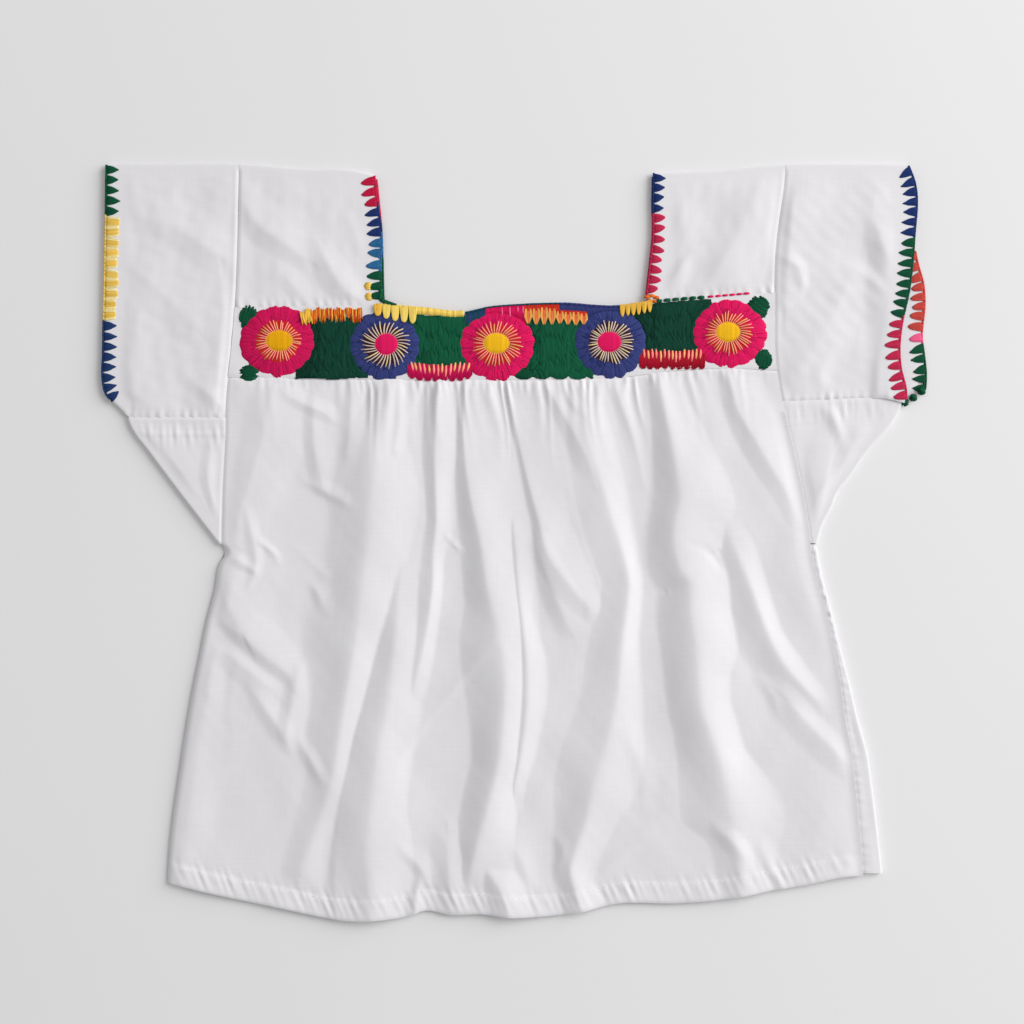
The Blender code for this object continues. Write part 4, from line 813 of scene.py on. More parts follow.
straps = {
    "across": 64, "frontRows": 60, "backRows": 16,
    "flat": (0.066, 0.128),
    "foldShare": 0.85, "ripples": [(0.25, 24, 51), (0.05, 7.5, 53)],
    "left": [
        [(-125, 155, 5, 8, 0.6), (-117, 145, 6, 10, 1.5), (-106, 138, 6, 12, 1.5), (-97, 131, 5, 8, 0.8)],
        [(-91, 138, 4, 4, 0.4), (-85, 126, 6, 6, 1.3), (-79, 117, 6, 7, 1.5), (-72, 111, 5, 6, 0.8)],
        [(-108, 124, 4, 5, 0.3), (-101, 117, 4, 5, 0.7), (-98, 111, 3, 5, 0.4)],
        [(-76, 148, 4, 4, 0.3), (-72, 139, 4, 4, 0.5), (-68, 131, 3, 3, 0.3)],
    ],
    "right": [
        [(114, 167, 8, 10, 0.8), (109, 155, 10, 14, 1.7), (102, 140, 10, 16, 2.1), (94, 127, 10, 14, 2.1),
         (87, 117, 7, 10, 1.2)],
        [(82, 133, 3, 5, 0.4), (76, 126, 3, 5, 1.0), (71, 119, 3, 4, 0.7)],
        [(77, 158, 8, 8, 0.3), (75, 148, 8, 8, 0.7), (74, 140, 6, 6, 0.3)],
    ],
}


def makeStrap(side, neckFront, neckBack):
    word = "Left" if side < 0 else "Right"
    top = shifted(edge["shoulder" + word], -foldRadius)
    lower = shifted(edge["bandTop"], -0.4)
    seam = shifted(edge["armhole" + word], -side * 0.05)

    def layer(neck, rows):
        sides = (seam, neck) if side < 0 else (neck, seam)
        return planGrid(*sides, top, lower, evenly(straps["across"] + 1), evenly(rows + 1))

    front, back = layer(edge[neckFront], straps["frontRows"]), layer(edge[neckBack], straps["backRows"])
    x, y = front
    fromFold, fromBand = top(x) - y, y - lower(x)
    fromNeck, fromSeam = side * (x - edge[neckFront](y)), side * (seam(y) - x)
    lift = slack(x, y, straps, side)
    lift *= smoothStep(fromFold, 0, 9) * smoothStep(fromBand, 0, 6) * smoothStep(fromNeck, 5, 14)
    lift *= smoothStep(fromSeam, -2, 6)
    lift += puckers(x, fromBand, 3.2, 0.3, (3.7, 5.2), 54) * smoothStep(fromNeck, 6, 10)
    ridge, dip = (0.12, 0.2) if side > 0 else (0.05, 0.45)
    lift += ridge * ridgeBy(fromSeam, 1.1, 0.9) * smoothStep(fromFold, 0, 4)
    lift -= dip * dipBy(fromSeam, 1.1) * smoothStep(fromFold, 0, 3)
    lift -= 0.15 * dipBy(fromBand, 1.2) + 0.25 * dipBy(fromNeck, 1.2) * smoothStep(fromFold, 0, 3)
    piece = foldedShell("strap" + word, front, back, lift, (0, 1), 62)
    dress(piece, "white_cotton", "strap_" + word.lower())


makeStrap(-1, "neckLeftFront", "neckLeftBack")
makeStrap(1, "neckRight", "neckRight")
print("straps made")

# Underarm gussets: squares folded on their diagonal

gussets = {
    "across": 48, "down": 64, "backSteps": 16,
    "flat": (0.053, 0.066),
    "foldShare": 1, "ripples": [(0.2, 20, 61)],
    "left": [[(-172, 50, 4, 5, 0.3), (-160, 40, 5, 6, 0.7), (-148, 24, 5, 6, 0.5)],
             [(-140, 44, 3, 4, 0.4), (-141, 28, 3, 4, 0.6), (-137, 14, 2, 3, 0.3)]],
    "right": [[(145, 42, 8, 5, 0.4), (142, 25, 8, 5, 1.2), (139, 8, 6, 3, 0.7)],
              [(143, 62, 3, 3, 0.4), (147, 55, 3, 3, 0.9), (151, 44, 3, 3, 0.3)],
              [(158, 50, 4, 5, 0.3), (152, 38, 4, 5, 0.7), (146, 26, 3, 4, 0.3)]],
}


def makeGusset(side):
    word = "Left" if side < 0 else "Right"
    foldLine = outline["gussetFold" + word]
    top = shifted(edge["sleeveEnd" + word], 0.3)
    seam = shifted(edge["armhole" + word], side * 0.05)
    runY, runX = foldLine[0][0] - foldLine[-1][0], foldLine[0][1] - foldLine[-1][1]
    length = math.hypot(runX, runY)
    outward = (side * runY / length, -side * runX / length)
    inset = shifted(edge["gussetFold" + word], -side * foldRadius / abs(outward[0]))

    def layer(steps):
        sides = (inset, seam) if side < 0 else (seam, inset)
        share = evenly(steps + 1) if side < 0 else evenly(steps + 1)[::-1]
        x, y = planGrid(*sides, top, lambda t: -0.6 + 0 * t, share, evenly(gussets["down"] + 1))
        return x.T, y.T

    front, back = layer(gussets["across"]), layer(gussets["backSteps"])
    x, y = front
    fromFold, fromSeam, fromTop = side * (inset(y) - x), side * (x - seam(y)), top(x) - y
    lift = slack(x, y, gussets, side)
    lift *= smoothStep(fromFold, 0, 8) * smoothStep(fromSeam, 0, 6) * smoothStep(fromTop, 0, 5)
    fromStitch = fromTop - (7.8 if side < 0 else 5)
    lift += puckers(x, fromStitch, 5.0, 0.26, (3.1, 4.3, 5.9), 63) * smoothStep(fromFold, 0, 5)
    lift += 0.3 * ridgeBy(fromStitch, 0, 0.8) * (side < 0) * smoothStep(fromFold, 0, 4)
    lift += 0.15 * (side < 0) * ridgeBy(fromTop, 1.4, 0.9) * smoothStep(fromFold, 0, 4)
    lift -= (0.3 * dipBy(fromSeam, 1.3) + 0.25 * dipBy(fromTop, 1.0)) * smoothStep(fromFold, -1, 2)
    piece = foldedShell("gusset" + word, front, back, lift, outward, 66)
    dress(piece, "white_cotton", "gusset_" + word.lower())


makeGusset(-1)
makeGusset(1)
print("gussets made")

# Thread work: every stitch is a short rounded strand of its own, joined into one mesh a motif

section = [(-1.0, 0.0), (-0.5, 0.85), (0.5, 0.85), (1.0, 0.0)]  # across and up


def strand(points, width, height, tone, blunt=0.55):
    # One stitch along points (x, y, z of its underside), narrower at both ends
    return np.asarray(points, float), width, height, tone, blunt


def layStrands(name, strands, materials, plates=()):
    # Joins stitches, and plates of (points, faces, tone) under them, into one mesh
    allPoints, faces, uvs, tones = [], [], [], []
    shift = 0
    for number, (points, width, height, tone, blunt) in enumerate(strands):
        count = len(points)
        forward = np.gradient(points, axis=0)
        flat = np.hypot(forward[:, 0], forward[:, 1]) + 1e-9
        side = np.stack([-forward[:, 1] / flat, forward[:, 0] / flat], 1)
        length = np.concatenate([[0], np.cumsum(np.linalg.norm(np.diff(points, axis=0), axis=1))])
        swell = blunt + (1 - blunt) * np.sin(math.pi * np.clip(evenly(count), 0.06, 0.94)) ** 0.5
        ring = np.empty((count, len(section), 3))
        uv = np.empty((count, len(section), 2))
        for k, (across, up) in enumerate(section):
            ring[:, k, :2] = points[:, :2] + side * (across * width / 2 * swell)[:, None]
            ring[:, k, 2] = points[:, 2] + up * height * swell
            uv[:, k, 0] = length
            uv[:, k, 1] = number + 0.1 + 0.27 * k
        allPoints.append(ring.reshape(-1, 3))
        uvs.append(uv.reshape(-1, 2))
        for i in range(count - 1):
            for k in range(4):
                a, b = shift + 4 * i + k, shift + 4 * i + (k + 1) % 4
                faces.append((a, b, b + 4, a + 4))
        faces.append((shift + 3, shift + 2, shift + 1, shift))
        last = shift + 4 * (count - 1)
        faces.append((last, last + 1, last + 2, last + 3))
        tones += [tone] * (4 * (count - 1) + 2)
        shift += 4 * count
    for number, (points, plateFaces, tone) in enumerate(plates):
        points = np.asarray(points, float)
        allPoints.append(points)
        uvs.append(np.stack([points[:, 0], -1.5 - number + 0 * points[:, 1]], 1))
        faces += [tuple(shift + k for k in face) for face in plateFaces]
        tones += [tone] * len(plateFaces)
        shift += len(points)
    return buildMesh(name, np.concatenate(allPoints), faces, np.concatenate(uvs),
                     [threads.get(m, whiteThread) for m in materials], tones)


def plate(rings, tone, low):
    # A closed low padding from outline loops of equal count, lowest first
    count = len(rings[0])
    points = [(x, y, low) for x, y, _ in rings[0]] + [p for ring in rings for p in ring]
    faces = [tuple(range(count))[::-1]]
    for r in range(len(rings)):
        for k in range(count):
            after = (k + 1) % count
            faces.append((r * count + k, r * count + after, (r + 1) * count + after, (r + 1) * count + k))
    faces.append(tuple(len(rings) * count + k for k in range(count)))
    return points, faces, tone


bandZ = layers["frontTop"] - 0.05  # stitches start just in the cloth of the band
bandTop = edge["bandTop"]

# Flower heads

flowers = {
    "places": [(-108.8, 92.2, 18.4, 16.9), (-59.7, 90.5, 17.6, 16.6), (-8.3, 90.6, 18.8, 17.0),
               (43.8, 91.6, 17.8, 16.9), (98.2, 95.8, 18.2, 16.2)],
    "hearts": [(0.6, 0.2, 6.2, 4.9), (0.6, 0.3, 5.2, 5.1), (-0.3, 0.6, 5.9, 4.8), (-0.6, 0.2, 5.5, 4.8),
               (-0.5, 0.6, 5.5, 4.6)],
    "petals": (17, 16, 17, 17, 18),
    "swirl": (0.02, 0.2, 0.05, 0.0, 0.06),
    "rays": (38, 32, 36, 38, 38),
    "tones": [("rose", "salmon", "mustard", "ember", "peach", "wine"),
              ("navy", "sand", "magenta", "brown", "cream", "ink"),
              ("magenta", "salmon", "yellow", "ember", "peach", "wine"),
              ("navy", "sand", "magenta", "brown", "cream", "ink"),
              ("magenta", "salmon", "yellow", "ember", "peach", "wine")],
    "rayReach": (0.55, 0.63, 0.60, 0.58, 0.60),
    "deeper": (0.1, 0.4, 0),  # share of the stitches in each ring that are a deeper shade
    # Rings of satin stitch from the rim inwards: stitches, inner and outer reach, raggedness, tone
    "rings": [(250, 0.60, 1.0, 0.02, 0), (190, 0.44, 0.76, 0.07, 0), (130, 0.24, 0.60, 0.05, 3)],
    "scallop": 0.085, "dome": 1.2, "stitch": 0.72, "heartStitches": 34, "rimPoints": 68,
}


def makeFlower(number):
    x0, y0, halfWidth, halfHeight = flowers["places"][number]
    heartX, heartY, heartWide, heartHigh = flowers["hearts"][number]
    petals, dome = flowers["petals"][number], flowers["dome"]
    chance = random.Random(70 + number)
    phase = chance.uniform(0, math.pi)
    wobble = [(k, chance.uniform(-0.012, 0.012), chance.uniform(0, 6)) for k in (2, 3, 5)]
    petalSizes = [chance.uniform(0.6, 1.25) for _ in range(petals + 1)]

    def rim(angle):
        turn = (petals * angle / math.tau + phase) % petals
        lobe = abs(math.sin(math.pi * (turn % 1))) ** 0.55
        notch = flowers["scallop"] * petalSizes[int(turn)]
        return 1 - notch * (1 - lobe) + sum(a * math.cos(k * angle + p) for k, a, p in wobble)

    def spot(angle, reach, height):
        return (x0 + halfWidth * reach * math.cos(angle), y0 + halfHeight * reach * math.sin(angle),
                bandZ + height)

    def domeAt(reach):
        return dome * (1 - 0.85 * max(0, (reach - 0.5) / 0.5) ** 2.4)

    around = [math.tau * k / flowers["rimPoints"] for k in range(flowers["rimPoints"])]
    rings = [[spot(angle, reach * rim(angle), height) for angle in around]
             for reach, height in ((0.97, 0.05), (0.93, 0.2), (0.75, domeAt(0.75) - 0.28),
                                   (0.4, domeAt(0.4) - 0.25), (0.1, domeAt(0.1) - 0.25))]
    stitches = []
    for level, (count, inner, outer, ragged, tone) in enumerate(flowers["rings"]):
        for k in range(count):
            angle = math.tau * (k + chance.uniform(-0.3, 0.3)) / count
            far = (outer * rim(angle) if level == 0 else outer) + chance.uniform(-ragged, 0.5 * ragged)
            near = inner + chance.uniform(-0.05, 0.05)
            lean, lift = chance.uniform(-0.035, 0.035), chance.uniform(0, 0.04) + 0.08 * level
            turn = (petals * angle / math.tau + phase) % 1
            groove = 0.22 * (1 - abs(math.sin(math.pi * turn)) ** 0.6) * (level < 2)
            points = []
            for s in (0, 0.3, 0.6, 0.85, 1):
                reach = near + (far - near) * s
                drop = 0.22 * (s == 1) + groove * s
                points.append(spot(angle + lean * (1 - s), reach,
                                   domeAt(reach) - 0.3 + lift - drop + 0.1 * math.sin(math.pi * s)))
            shade = 5 if chance.random() < flowers["deeper"][level] else tone
            stitches.append(strand(points, flowers["stitch"] * chance.uniform(0.9, 1.2), 0.14, shade, 0.75))
    rays = flowers["rays"][number]
    for k in range(rays):
        angle = math.tau * (k + chance.uniform(-0.13, 0.13)) / rays
        near, far = 0.26, flowers["rayReach"][number] + chance.uniform(-0.05, 0.05)
        lean = chance.uniform(-0.04, 0.04) - flowers["swirl"][number]
        points = []
        for s in (0, 0.33, 0.67, 1):
            reach = near + (far - near) * s
            x, y, z = spot(angle + lean * s, reach, domeAt(reach) + 0.16 + 0.12 * math.sin(math.pi * s))
            points.append((x + heartX * (1 - s), y + heartY * (1 - s), z))
        stitches.append(strand(points, 0.68, 0.34, 4 if k % 5 == 0 else 1, 0.4))
    count = flowers["heartStitches"]
    for layer in range(2):
        for k in range(count):
            across = -1 + 2 * (k + 0.5) / count
            half = math.sqrt(max(0.03, 1 - across ** 2))
            points = []
            for s in (-1, -0.6, 0, 0.6, 1):
                px, py = (s * half, across) if layer == 0 else (across, s * half)
                crown = math.sqrt(max(0, 1 - 0.9 * (px * px + py * py)))
                slip = chance.uniform(-0.03, 0.03) * (abs(s) == 1)
                points.append((x0 + heartX + heartWide * px * 1.02,
                               y0 + heartY + heartHigh * (py * 1.02 + slip),
                               bandZ + dome - 0.2 + 0.7 * crown + 0.12 * layer + chance.uniform(0, 0.03)))
            pitch = 2 * (heartHigh if layer == 0 else heartWide) / count
            stitches.append(strand(points, 2.1 * pitch, 0.2, 2, 0.75))
    padding = plate(rings, 0, bandZ - 0.05)
    piece = layStrands(f"flower{number + 1}", stitches, flowers["tones"][number], [padding])
    dress(piece, "navy_thread" if number % 2 else "magenta_thread", f"flower_{number + 1}")


for number in range(len(flowers["places"])):
    makeFlower(number)
print("flower heads stitched")

# Leaves: satin stitch in slanted blocks between two flower heads

leaves = {
    # Each fill's second tone is a darker thread, laid beside the left flower head as painted shade
    "fills": [
        {"bottom": 74.9, "top": 103.4, "slants": (70, 108, 80), "waves": 0, "tones": ["pine", "pinePaintedShade"]},
        {"bottom": 80.4, "top": 104.6, "slants": (98, 80), "waves": 0, "tones": ["green", "darkGreenAndPaintedShade"]},
        {"bottom": 74.8, "top": 103.2, "slants": (60, 100, 122), "waves": 4, "tones": ["green", "darkGreenAndPaintedShade"]},
        {"bottom": 87.0, "top": 112.0, "slants": (82, 104, 76), "waves": 0, "tones": ["pine", "pinePaintedShade"]},
    ],
    "pitch": 0.46, "width": 1.05, "height": 0.08, "cornerStitches": 22,
    "corners": [(-122.4, 102.9, 4.1, 5.6, 62), (-122.2, 77.6, 4.5, 3.5, -20), (111.8, 107.8, 5.0, 5.1, 120),
                (114.2, 83.9, 3.7, 4.4, 60)],
}


def insideFlower(x, y, number):
    x0, y0, halfWidth, halfHeight = flowers["places"][number]
    return ((x - x0) / halfWidth) ** 2 + ((y - y0) / halfHeight) ** 2 < 0.86


def makeLeaves(number):
    fill = leaves["fills"][number]
    chance = random.Random(90 + number)
    left, right = flowers["places"][number], flowers["places"][number + 1]
    start, end = left[0] + 0.5 * left[2], right[0] - 0.5 * right[2]

    def low(x):
        share = (x - start) / (end - start)
        if fill["waves"]:
            return fill["bottom"] + 1.1 - 1.4 * abs(math.sin(math.pi * fill["waves"] * share + 0.6))
        return fill["bottom"] + 0.3 * math.sin(9 * share)

    def high(x):
        humps = fill["top"] + 0.6 * math.sin(13 * (x - start) / (end - start))
        return min(humps, float(bandTop(x)) - 0.5)

    def inside(x, y):
        return low(x) < y < high(x) and not insideFlower(x, y, number) and not insideFlower(x, y, number + 1)

    stitches = []
    blocks = len(fill["slants"])
    wide = (end - start) / blocks
    for block, slant in enumerate(fill["slants"]):
        dx, dy = math.cos(math.radians(slant)), math.sin(math.radians(slant))
        middleX, middleY = start + (block + 0.5) * wide, (fill["bottom"] + fill["top"]) / 2
        count = int((wide + 10) / leaves["pitch"])
        for k in range(count):
            offset = (k - count / 2) * leaves["pitch"] / abs(dy)
            spots = [(middleX + offset + dx * 0.4 * step, middleY + dy * 0.4 * step)
                     for step in range(-50, 51)]
            spots = [p for p in spots if abs(p[0] - middleX) < wide / 2 + 1.0 and inside(*p)]
            # Each long line is worked as three stitches of uneven length that overlap
            cuts = [0, int(len(spots) * chance.uniform(0.25, 0.42)),
                    int(len(spots) * chance.uniform(0.58, 0.78)), len(spots)]
            for first, last in zip(cuts, cuts[1:]):
                run = spots[max(0, first - 3):last]
                if len(run) < 5:
                    continue
                ends = [run[0], run[len(run) // 3], run[2 * len(run) // 3], run[-1]]
                base = bandZ + 0.3 + 0.08 * (block % 2) + chance.uniform(0, 0.02)
                # The fill's darker thread goes on stitches nearer the left flower head, with a random spread:
                # painted shade beside that flower
                shade = (run[0][0] - start) / (end - start) + chance.uniform(-0.25, 0.25)
                points = [(x, y, base + arch) for (x, y), arch in zip(ends, (-0.05, 0.1, 0.1, -0.05))]
                stitches.append(strand(points, leaves["width"], leaves["height"], int(shade < 0.25), 0.7))
    # Padding of the same thread under the stitches
    columns = [(x, [y for y in np.arange(fill["bottom"] - 2, fill["top"] + 2, 0.25) if inside(x, y)])
               for x in np.linspace(start, end, 40)]
    columns = [(x, ys[0] + 0.3, ys[-1] - 0.3) for x, ys in columns if ys]
    loop = [(x, y) for x, y, _ in columns] + [(x, y) for x, _, y in columns[::-1]]
    rings = [[(x, y, bandZ + height) for x, y in loop] for height in (0.1, 0.34)]
    padding = plate(rings, 1, bandZ - 0.1)
    piece = layStrands(f"leaves{number + 1}", stitches, fill["tones"], [padding])
    dress(piece, "green_thread", f"leaves_{number + 1}")


for number in range(len(leaves["fills"])):
    makeLeaves(number)


def makeCornerLeaves():
    for number, (x0, y0, halfWide, halfHigh, slant) in enumerate(leaves["corners"], 1):
        chance = random.Random(110 + number)
        lean = math.radians(slant)
        stitches = []
        for layer in range(2):
            for k in range(leaves["cornerStitches"]):
                across = -1 + 2 * (k + 0.5) / leaves["cornerStitches"]
                half = math.sqrt(1 - across ** 2) * chance.uniform(0.7, 1.12)
                turn = lean + 0.3 * layer + chance.uniform(-0.12, 0.12)
                points = []
                for s, arch in ((-1, 0), (-0.5, 0.25), (0.5, 0.25), (1, 0)):
                    px = across * -math.sin(turn) + s * half * math.cos(turn)
                    py = across * math.cos(turn) + s * half * math.sin(turn)
                    points.append((x0 + halfWide * px, y0 + halfHigh * py,
                                   bandZ + 0.02 + 0.7 * arch + 0.06 * layer + chance.uniform(0, 0.05)))
                stitches.append(strand(points, 0.95, 0.16, k % 4 == 0, 0.7))
        piece = layStrands(f"cornerLeaf{number}", stitches, ["darkGreenAndPaintedShade", "green"])
        dress(piece, "green_thread", f"corner_leaf_{number}")


makeCornerLeaves()
print("leaves stitched")

# Tufts, wraps and cords, from which the fringes and the borders are made


def tuft(x0, y0, width, depth, turn, tone, chance, z, count=8, tip=0.12, hook=0.0, thick=0.4, edgeTone=None):
    # Stitches that leave an edge side by side and draw together at a tip, turn being their direction
    dx, dy = math.cos(turn), math.sin(turn)
    made = []
    for k in range(count):
        share = (k + 0.5) / count - 0.5
        reach = depth * (1 - (0.22 - 0.2 * tip) * abs(2 * share) ** 2) * chance.uniform(0.97, 1.02)
        points = []
        for s in (0, 0.25, 0.5, 0.72, 0.9, 1):
            full = tip + (1 - tip) * (1 - s ** 2.1) ** 0.85
            off = share * width * full + hook * width * s * s
            arch = 0.26 * math.sin(math.pi * min(1, 0.15 + 0.85 * s)) * (1 - 0.8 * (2 * share) ** 2)
            points.append((x0 - dy * off + dx * reach * s, y0 + dx * off + dy * reach * s,
                           z + arch + chance.uniform(0, 0.05)))
        outer = edgeTone is not None and abs(share) > 0.3
        made.append(strand(points, 1.3 * width / count, thick, edgeTone if outer else tone, 0.75))
    return made


def cord(points, width, height, tone, chance, piece=1.7):
    # A rim of short stitches laid along an edge
    at = np.array(points, float)
    length = np.concatenate([[0], np.cumsum(np.linalg.norm(np.diff(at[:, :2], axis=0), axis=1))])
    count = max(2, int(length[-1] / piece))
    made = []
    for k in range(count):
        places = [min(length[-1], length[-1] * (k + s) / count) for s in (-0.1, 0.5, 1.1)]
        ends = [[np.interp(max(0, p), length, at[:, c]) for c in range(3)] for p in places]
        ends[1][2] += 0.1
        made.append(strand(ends, width * chance.uniform(0.93, 1.07), height, tone, 0.85))
    return made


def wraps(start, end, pitch, topLine, bottomLine, tone, chance, base, width=None, arch=0.3):
    # Upright stitches side by side between two lines; tone may be a function of x and the stitch
    made = []
    for k in range(int((end - start) / pitch)):
        x = start + (k + 0.5) * pitch
        high, low = float(topLine(x)), float(bottomLine(x))
        low += chance.uniform(-0.15, 0.15) * min(1, (high - low) / 4)
        points = [(x, high, base), (x, 0.5 * (high + low), base + arch),
                  (x + chance.uniform(-0.1, 0.1), low, base)]
        shade = tone(x, k) if callable(tone) else tone
        made.append(strand(points, width or 1.25 * pitch, 0.34, shade, 0.65))
    return made


down = -math.pi / 2

# Rows of pointed stitches along the band

fringes = {
    "fingers": [(-63.0, 5.4), (-59.0, 6.4), (-55.0, 7.2), (-50.9, 7.4), (-47.0, 7.6)],
    "fingerWidth": 3.7,
    "strokes": {"from": -99.0, "wide": 28.6, "count": 62},
    "edging": {"from": -63.5, "to": -23.2},
    "flame": {"from": 4.2, "to": 33.4, "flames": 8, "long": 8.9, "navyFrom": 20.6},
    "scallopLeft": {"from": -49.5, "to": -19.5, "top": 82.2, "rise": 2.6, "bottom": 73.8, "lobes": 8,
                    "tones": ("rose", "salmon", "peach"), "fan": 0.9, "strokes": 14},
    "scallopRight": {"from": 57.0, "to": 87.4, "top": 88.2, "rise": 0.4, "bottom": 79.2, "lobes": 9,
                     "tones": ("red", "salmon", "peach"), "fan": 0.3, "strokes": 15},
    # Green and magenta dashes: start, pitch, place over the line, crest, end, width, height, tone, bluntness
    "dashes": [(64.5, 3.9, 0.2, (1.4, 0.3, 0.4), (3.0, 0.35), 1.7, 0.55, 5, 0.6),
               (88.6, 3.3, 0.4, (1.2, 0.1, 0.3), (2.6, 0.2), 1.15, 0.45, 0, 0.5)],
}


def makeFringes():
    chance = random.Random(130)

    # Orange and yellow strokes over the first leaves
    stitches = []
    wish = fringes["strokes"]
    for k in range(wish["count"]):
        x = wish["from"] + wish["wide"] * (k + 0.5) / wish["count"]
        over = 0.9 * max(0, (-90.5 - x) / 8)
        high = 107.4 - 1.6 * over + 0.5 * math.sin(1.3 * x) + chance.uniform(-0.5, 0.5)
        low = high - 6.6 * chance.uniform(0.7, 1.05)
        lean = chance.uniform(-0.5, 0.5) + 1.4 * max(0, (-90 - x) / 9)
        middle = (high + low) / 2
        tone = 1 if k % 4 == 0 or x < -94 else (2 if k % 3 == 0 else 0)
        stitches.append(strand([(x, high, bandZ + over),
                                (x + 0.4 * lean, middle, bandZ + over + 0.5 + 0.1 * (k % 3)),
                                (x + lean, low, bandZ + 0.42 + 1.1 * over)], 0.62, 0.34, tone, 0.5))
    piece = layStrands("fringe1", stitches, ["orange", "apricot", "flameRed"])
    dress(piece, "orange_thread", "fringe_1")

    # Yellow edging of the neckline, with fingers that hang over the second flower
    wish = fringes["edging"]
    stitches = wraps(wish["from"], wish["to"], 0.58, shifted(bandTop, 1.5),
                     lambda x: bandTop(x) - 2.6 + 1.3 * (x + 63) / 40, lambda x, k: k % 5 == 0,
                     chance, bandZ + 0.2, 0.8, 0.45)
    for x, depth in fringes["fingers"]:
        stitches += tuft(x, float(bandTop(x)) + 1.0, fringes["fingerWidth"], depth, down, int(x < -60),
                         chance, bandZ + 1.0, 7, 0.55, 0, 0.42)
    piece = layStrands("fringe2", stitches, ["lemon", "apricot"])
    dress(piece, "yellow_thread", "fringe_2")

    # Flames: a red and navy root at the neckline, and pointed tips in orange and yellow
    wish = fringes["flame"]
    pitch = (wish["to"] - wish["from"]) / wish["flames"]

    def rootTone(x, k):
        return 2 if x > wish["navyFrom"] else 0

    stitches = wraps(wish["from"] - 1, wish["to"], 0.52, shifted(bandTop, 0.2),
                     lambda x: bandTop(x) - 5.2 + 1.6 * (x > 20.6), rootTone, chance, bandZ + 0.25, 0.7)
    stitches += wraps(wish["navyFrom"], wish["to"], 0.6, shifted(bandTop, -2.0), shifted(bandTop, -6.4),
                      0, chance, bandZ + 0.3, 0.72)
    for k in range(wish["flames"]):
        x = wish["from"] + (k + 0.5) * pitch
        rootAt = float(bandTop(x)) - (1.3 if x < wish["navyFrom"] else 3.2) - chance.uniform(0, 0.7)
        depth = wish["long"] - (float(bandTop(x)) - rootAt) + chance.uniform(-0.4, 0.4)
        lean = down + chance.uniform(-0.1, 0.1)
        stitches += tuft(x, rootAt - 0.9, 0.98 * pitch, depth - 0.9, lean, 1, chance, bandZ + 0.42, 7, 0.14)
        for side in (-1, 1):
            for offset in (0.30, 0.44):
                shiftX = side * pitch * offset
                stitches.append(strand([(x + 0.75 * shiftX, rootAt, bandZ + 0.75),
                                        (x + shiftX, rootAt - 0.5 * depth, bandZ + 0.9),
                                        (x + 0.25 * shiftX, rootAt - depth, bandZ + 0.6)], 0.6, 0.34, 3, 0.4))
    piece = layStrands("fringe3", stitches, ["flameRed", "marigold", "navy", "honey"])
    dress(piece, "red_thread", "fringe_3")

    # Scallops under two of the leaves: padded lobes with a fan of pale strokes
    for number, key in ((1, "scallopLeft"), (2, "scallopRight")):
        wish = fringes[key]
        middle, half = (wish["from"] + wish["to"]) / 2, (wish["to"] - wish["from"]) / 2

        def topLine(x):
            return wish["top"] + wish["rise"] * (((x - middle) / half) ** 2 - 0.3)

        def bottomLine(x):
            lobe = abs(math.sin(math.pi * wish["lobes"] * (x - wish["from"]) / (2 * half))) ** 0.6
            return wish["bottom"] + 1.7 * (1 - lobe) + 0.8 * wish["rise"] * ((x - middle) / half) ** 4

        stitches = wraps(wish["from"], wish["to"], 0.46, topLine, bottomLine, 0,
                         chance, bandZ + 0.16, 0.64, 0.4)
        for k in range(wish["strokes"]):
            share = (k + 0.5) / wish["strokes"]
            x = wish["from"] + 1.8 + (2 * half - 3.6) * share + chance.uniform(-0.25, 0.25)
            high = topLine(x) + chance.uniform(-0.5, 0.6)
            low = high - chance.uniform(3.9, 5.4)
            lean = wish["fan"] * (1.6 - 3.2 * share)
            points = [(x - lean, high, bandZ + 0.4), (x - 0.5 * lean, (high + low) / 2, bandZ + 0.76),
                      (x, low, bandZ + 0.5)]
            stitches.append(strand(points, 1.15, 0.4, 1 + (k % 3 == 1), 0.45))
        piece = layStrands(f"scallops{number}", stitches, wish["tones"])
        dress(piece, "red_thread", f"scallops_{number}")

    # Flowers three and four run up to the neckline, between dark and teal stitches
    def above(number):
        x0, y0, halfWidth, halfHeight = flowers["places"][number]
        return lambda x: y0 + halfHeight * math.sqrt(max(0, 1 - ((x - x0) / halfWidth) ** 2)) - 2.6

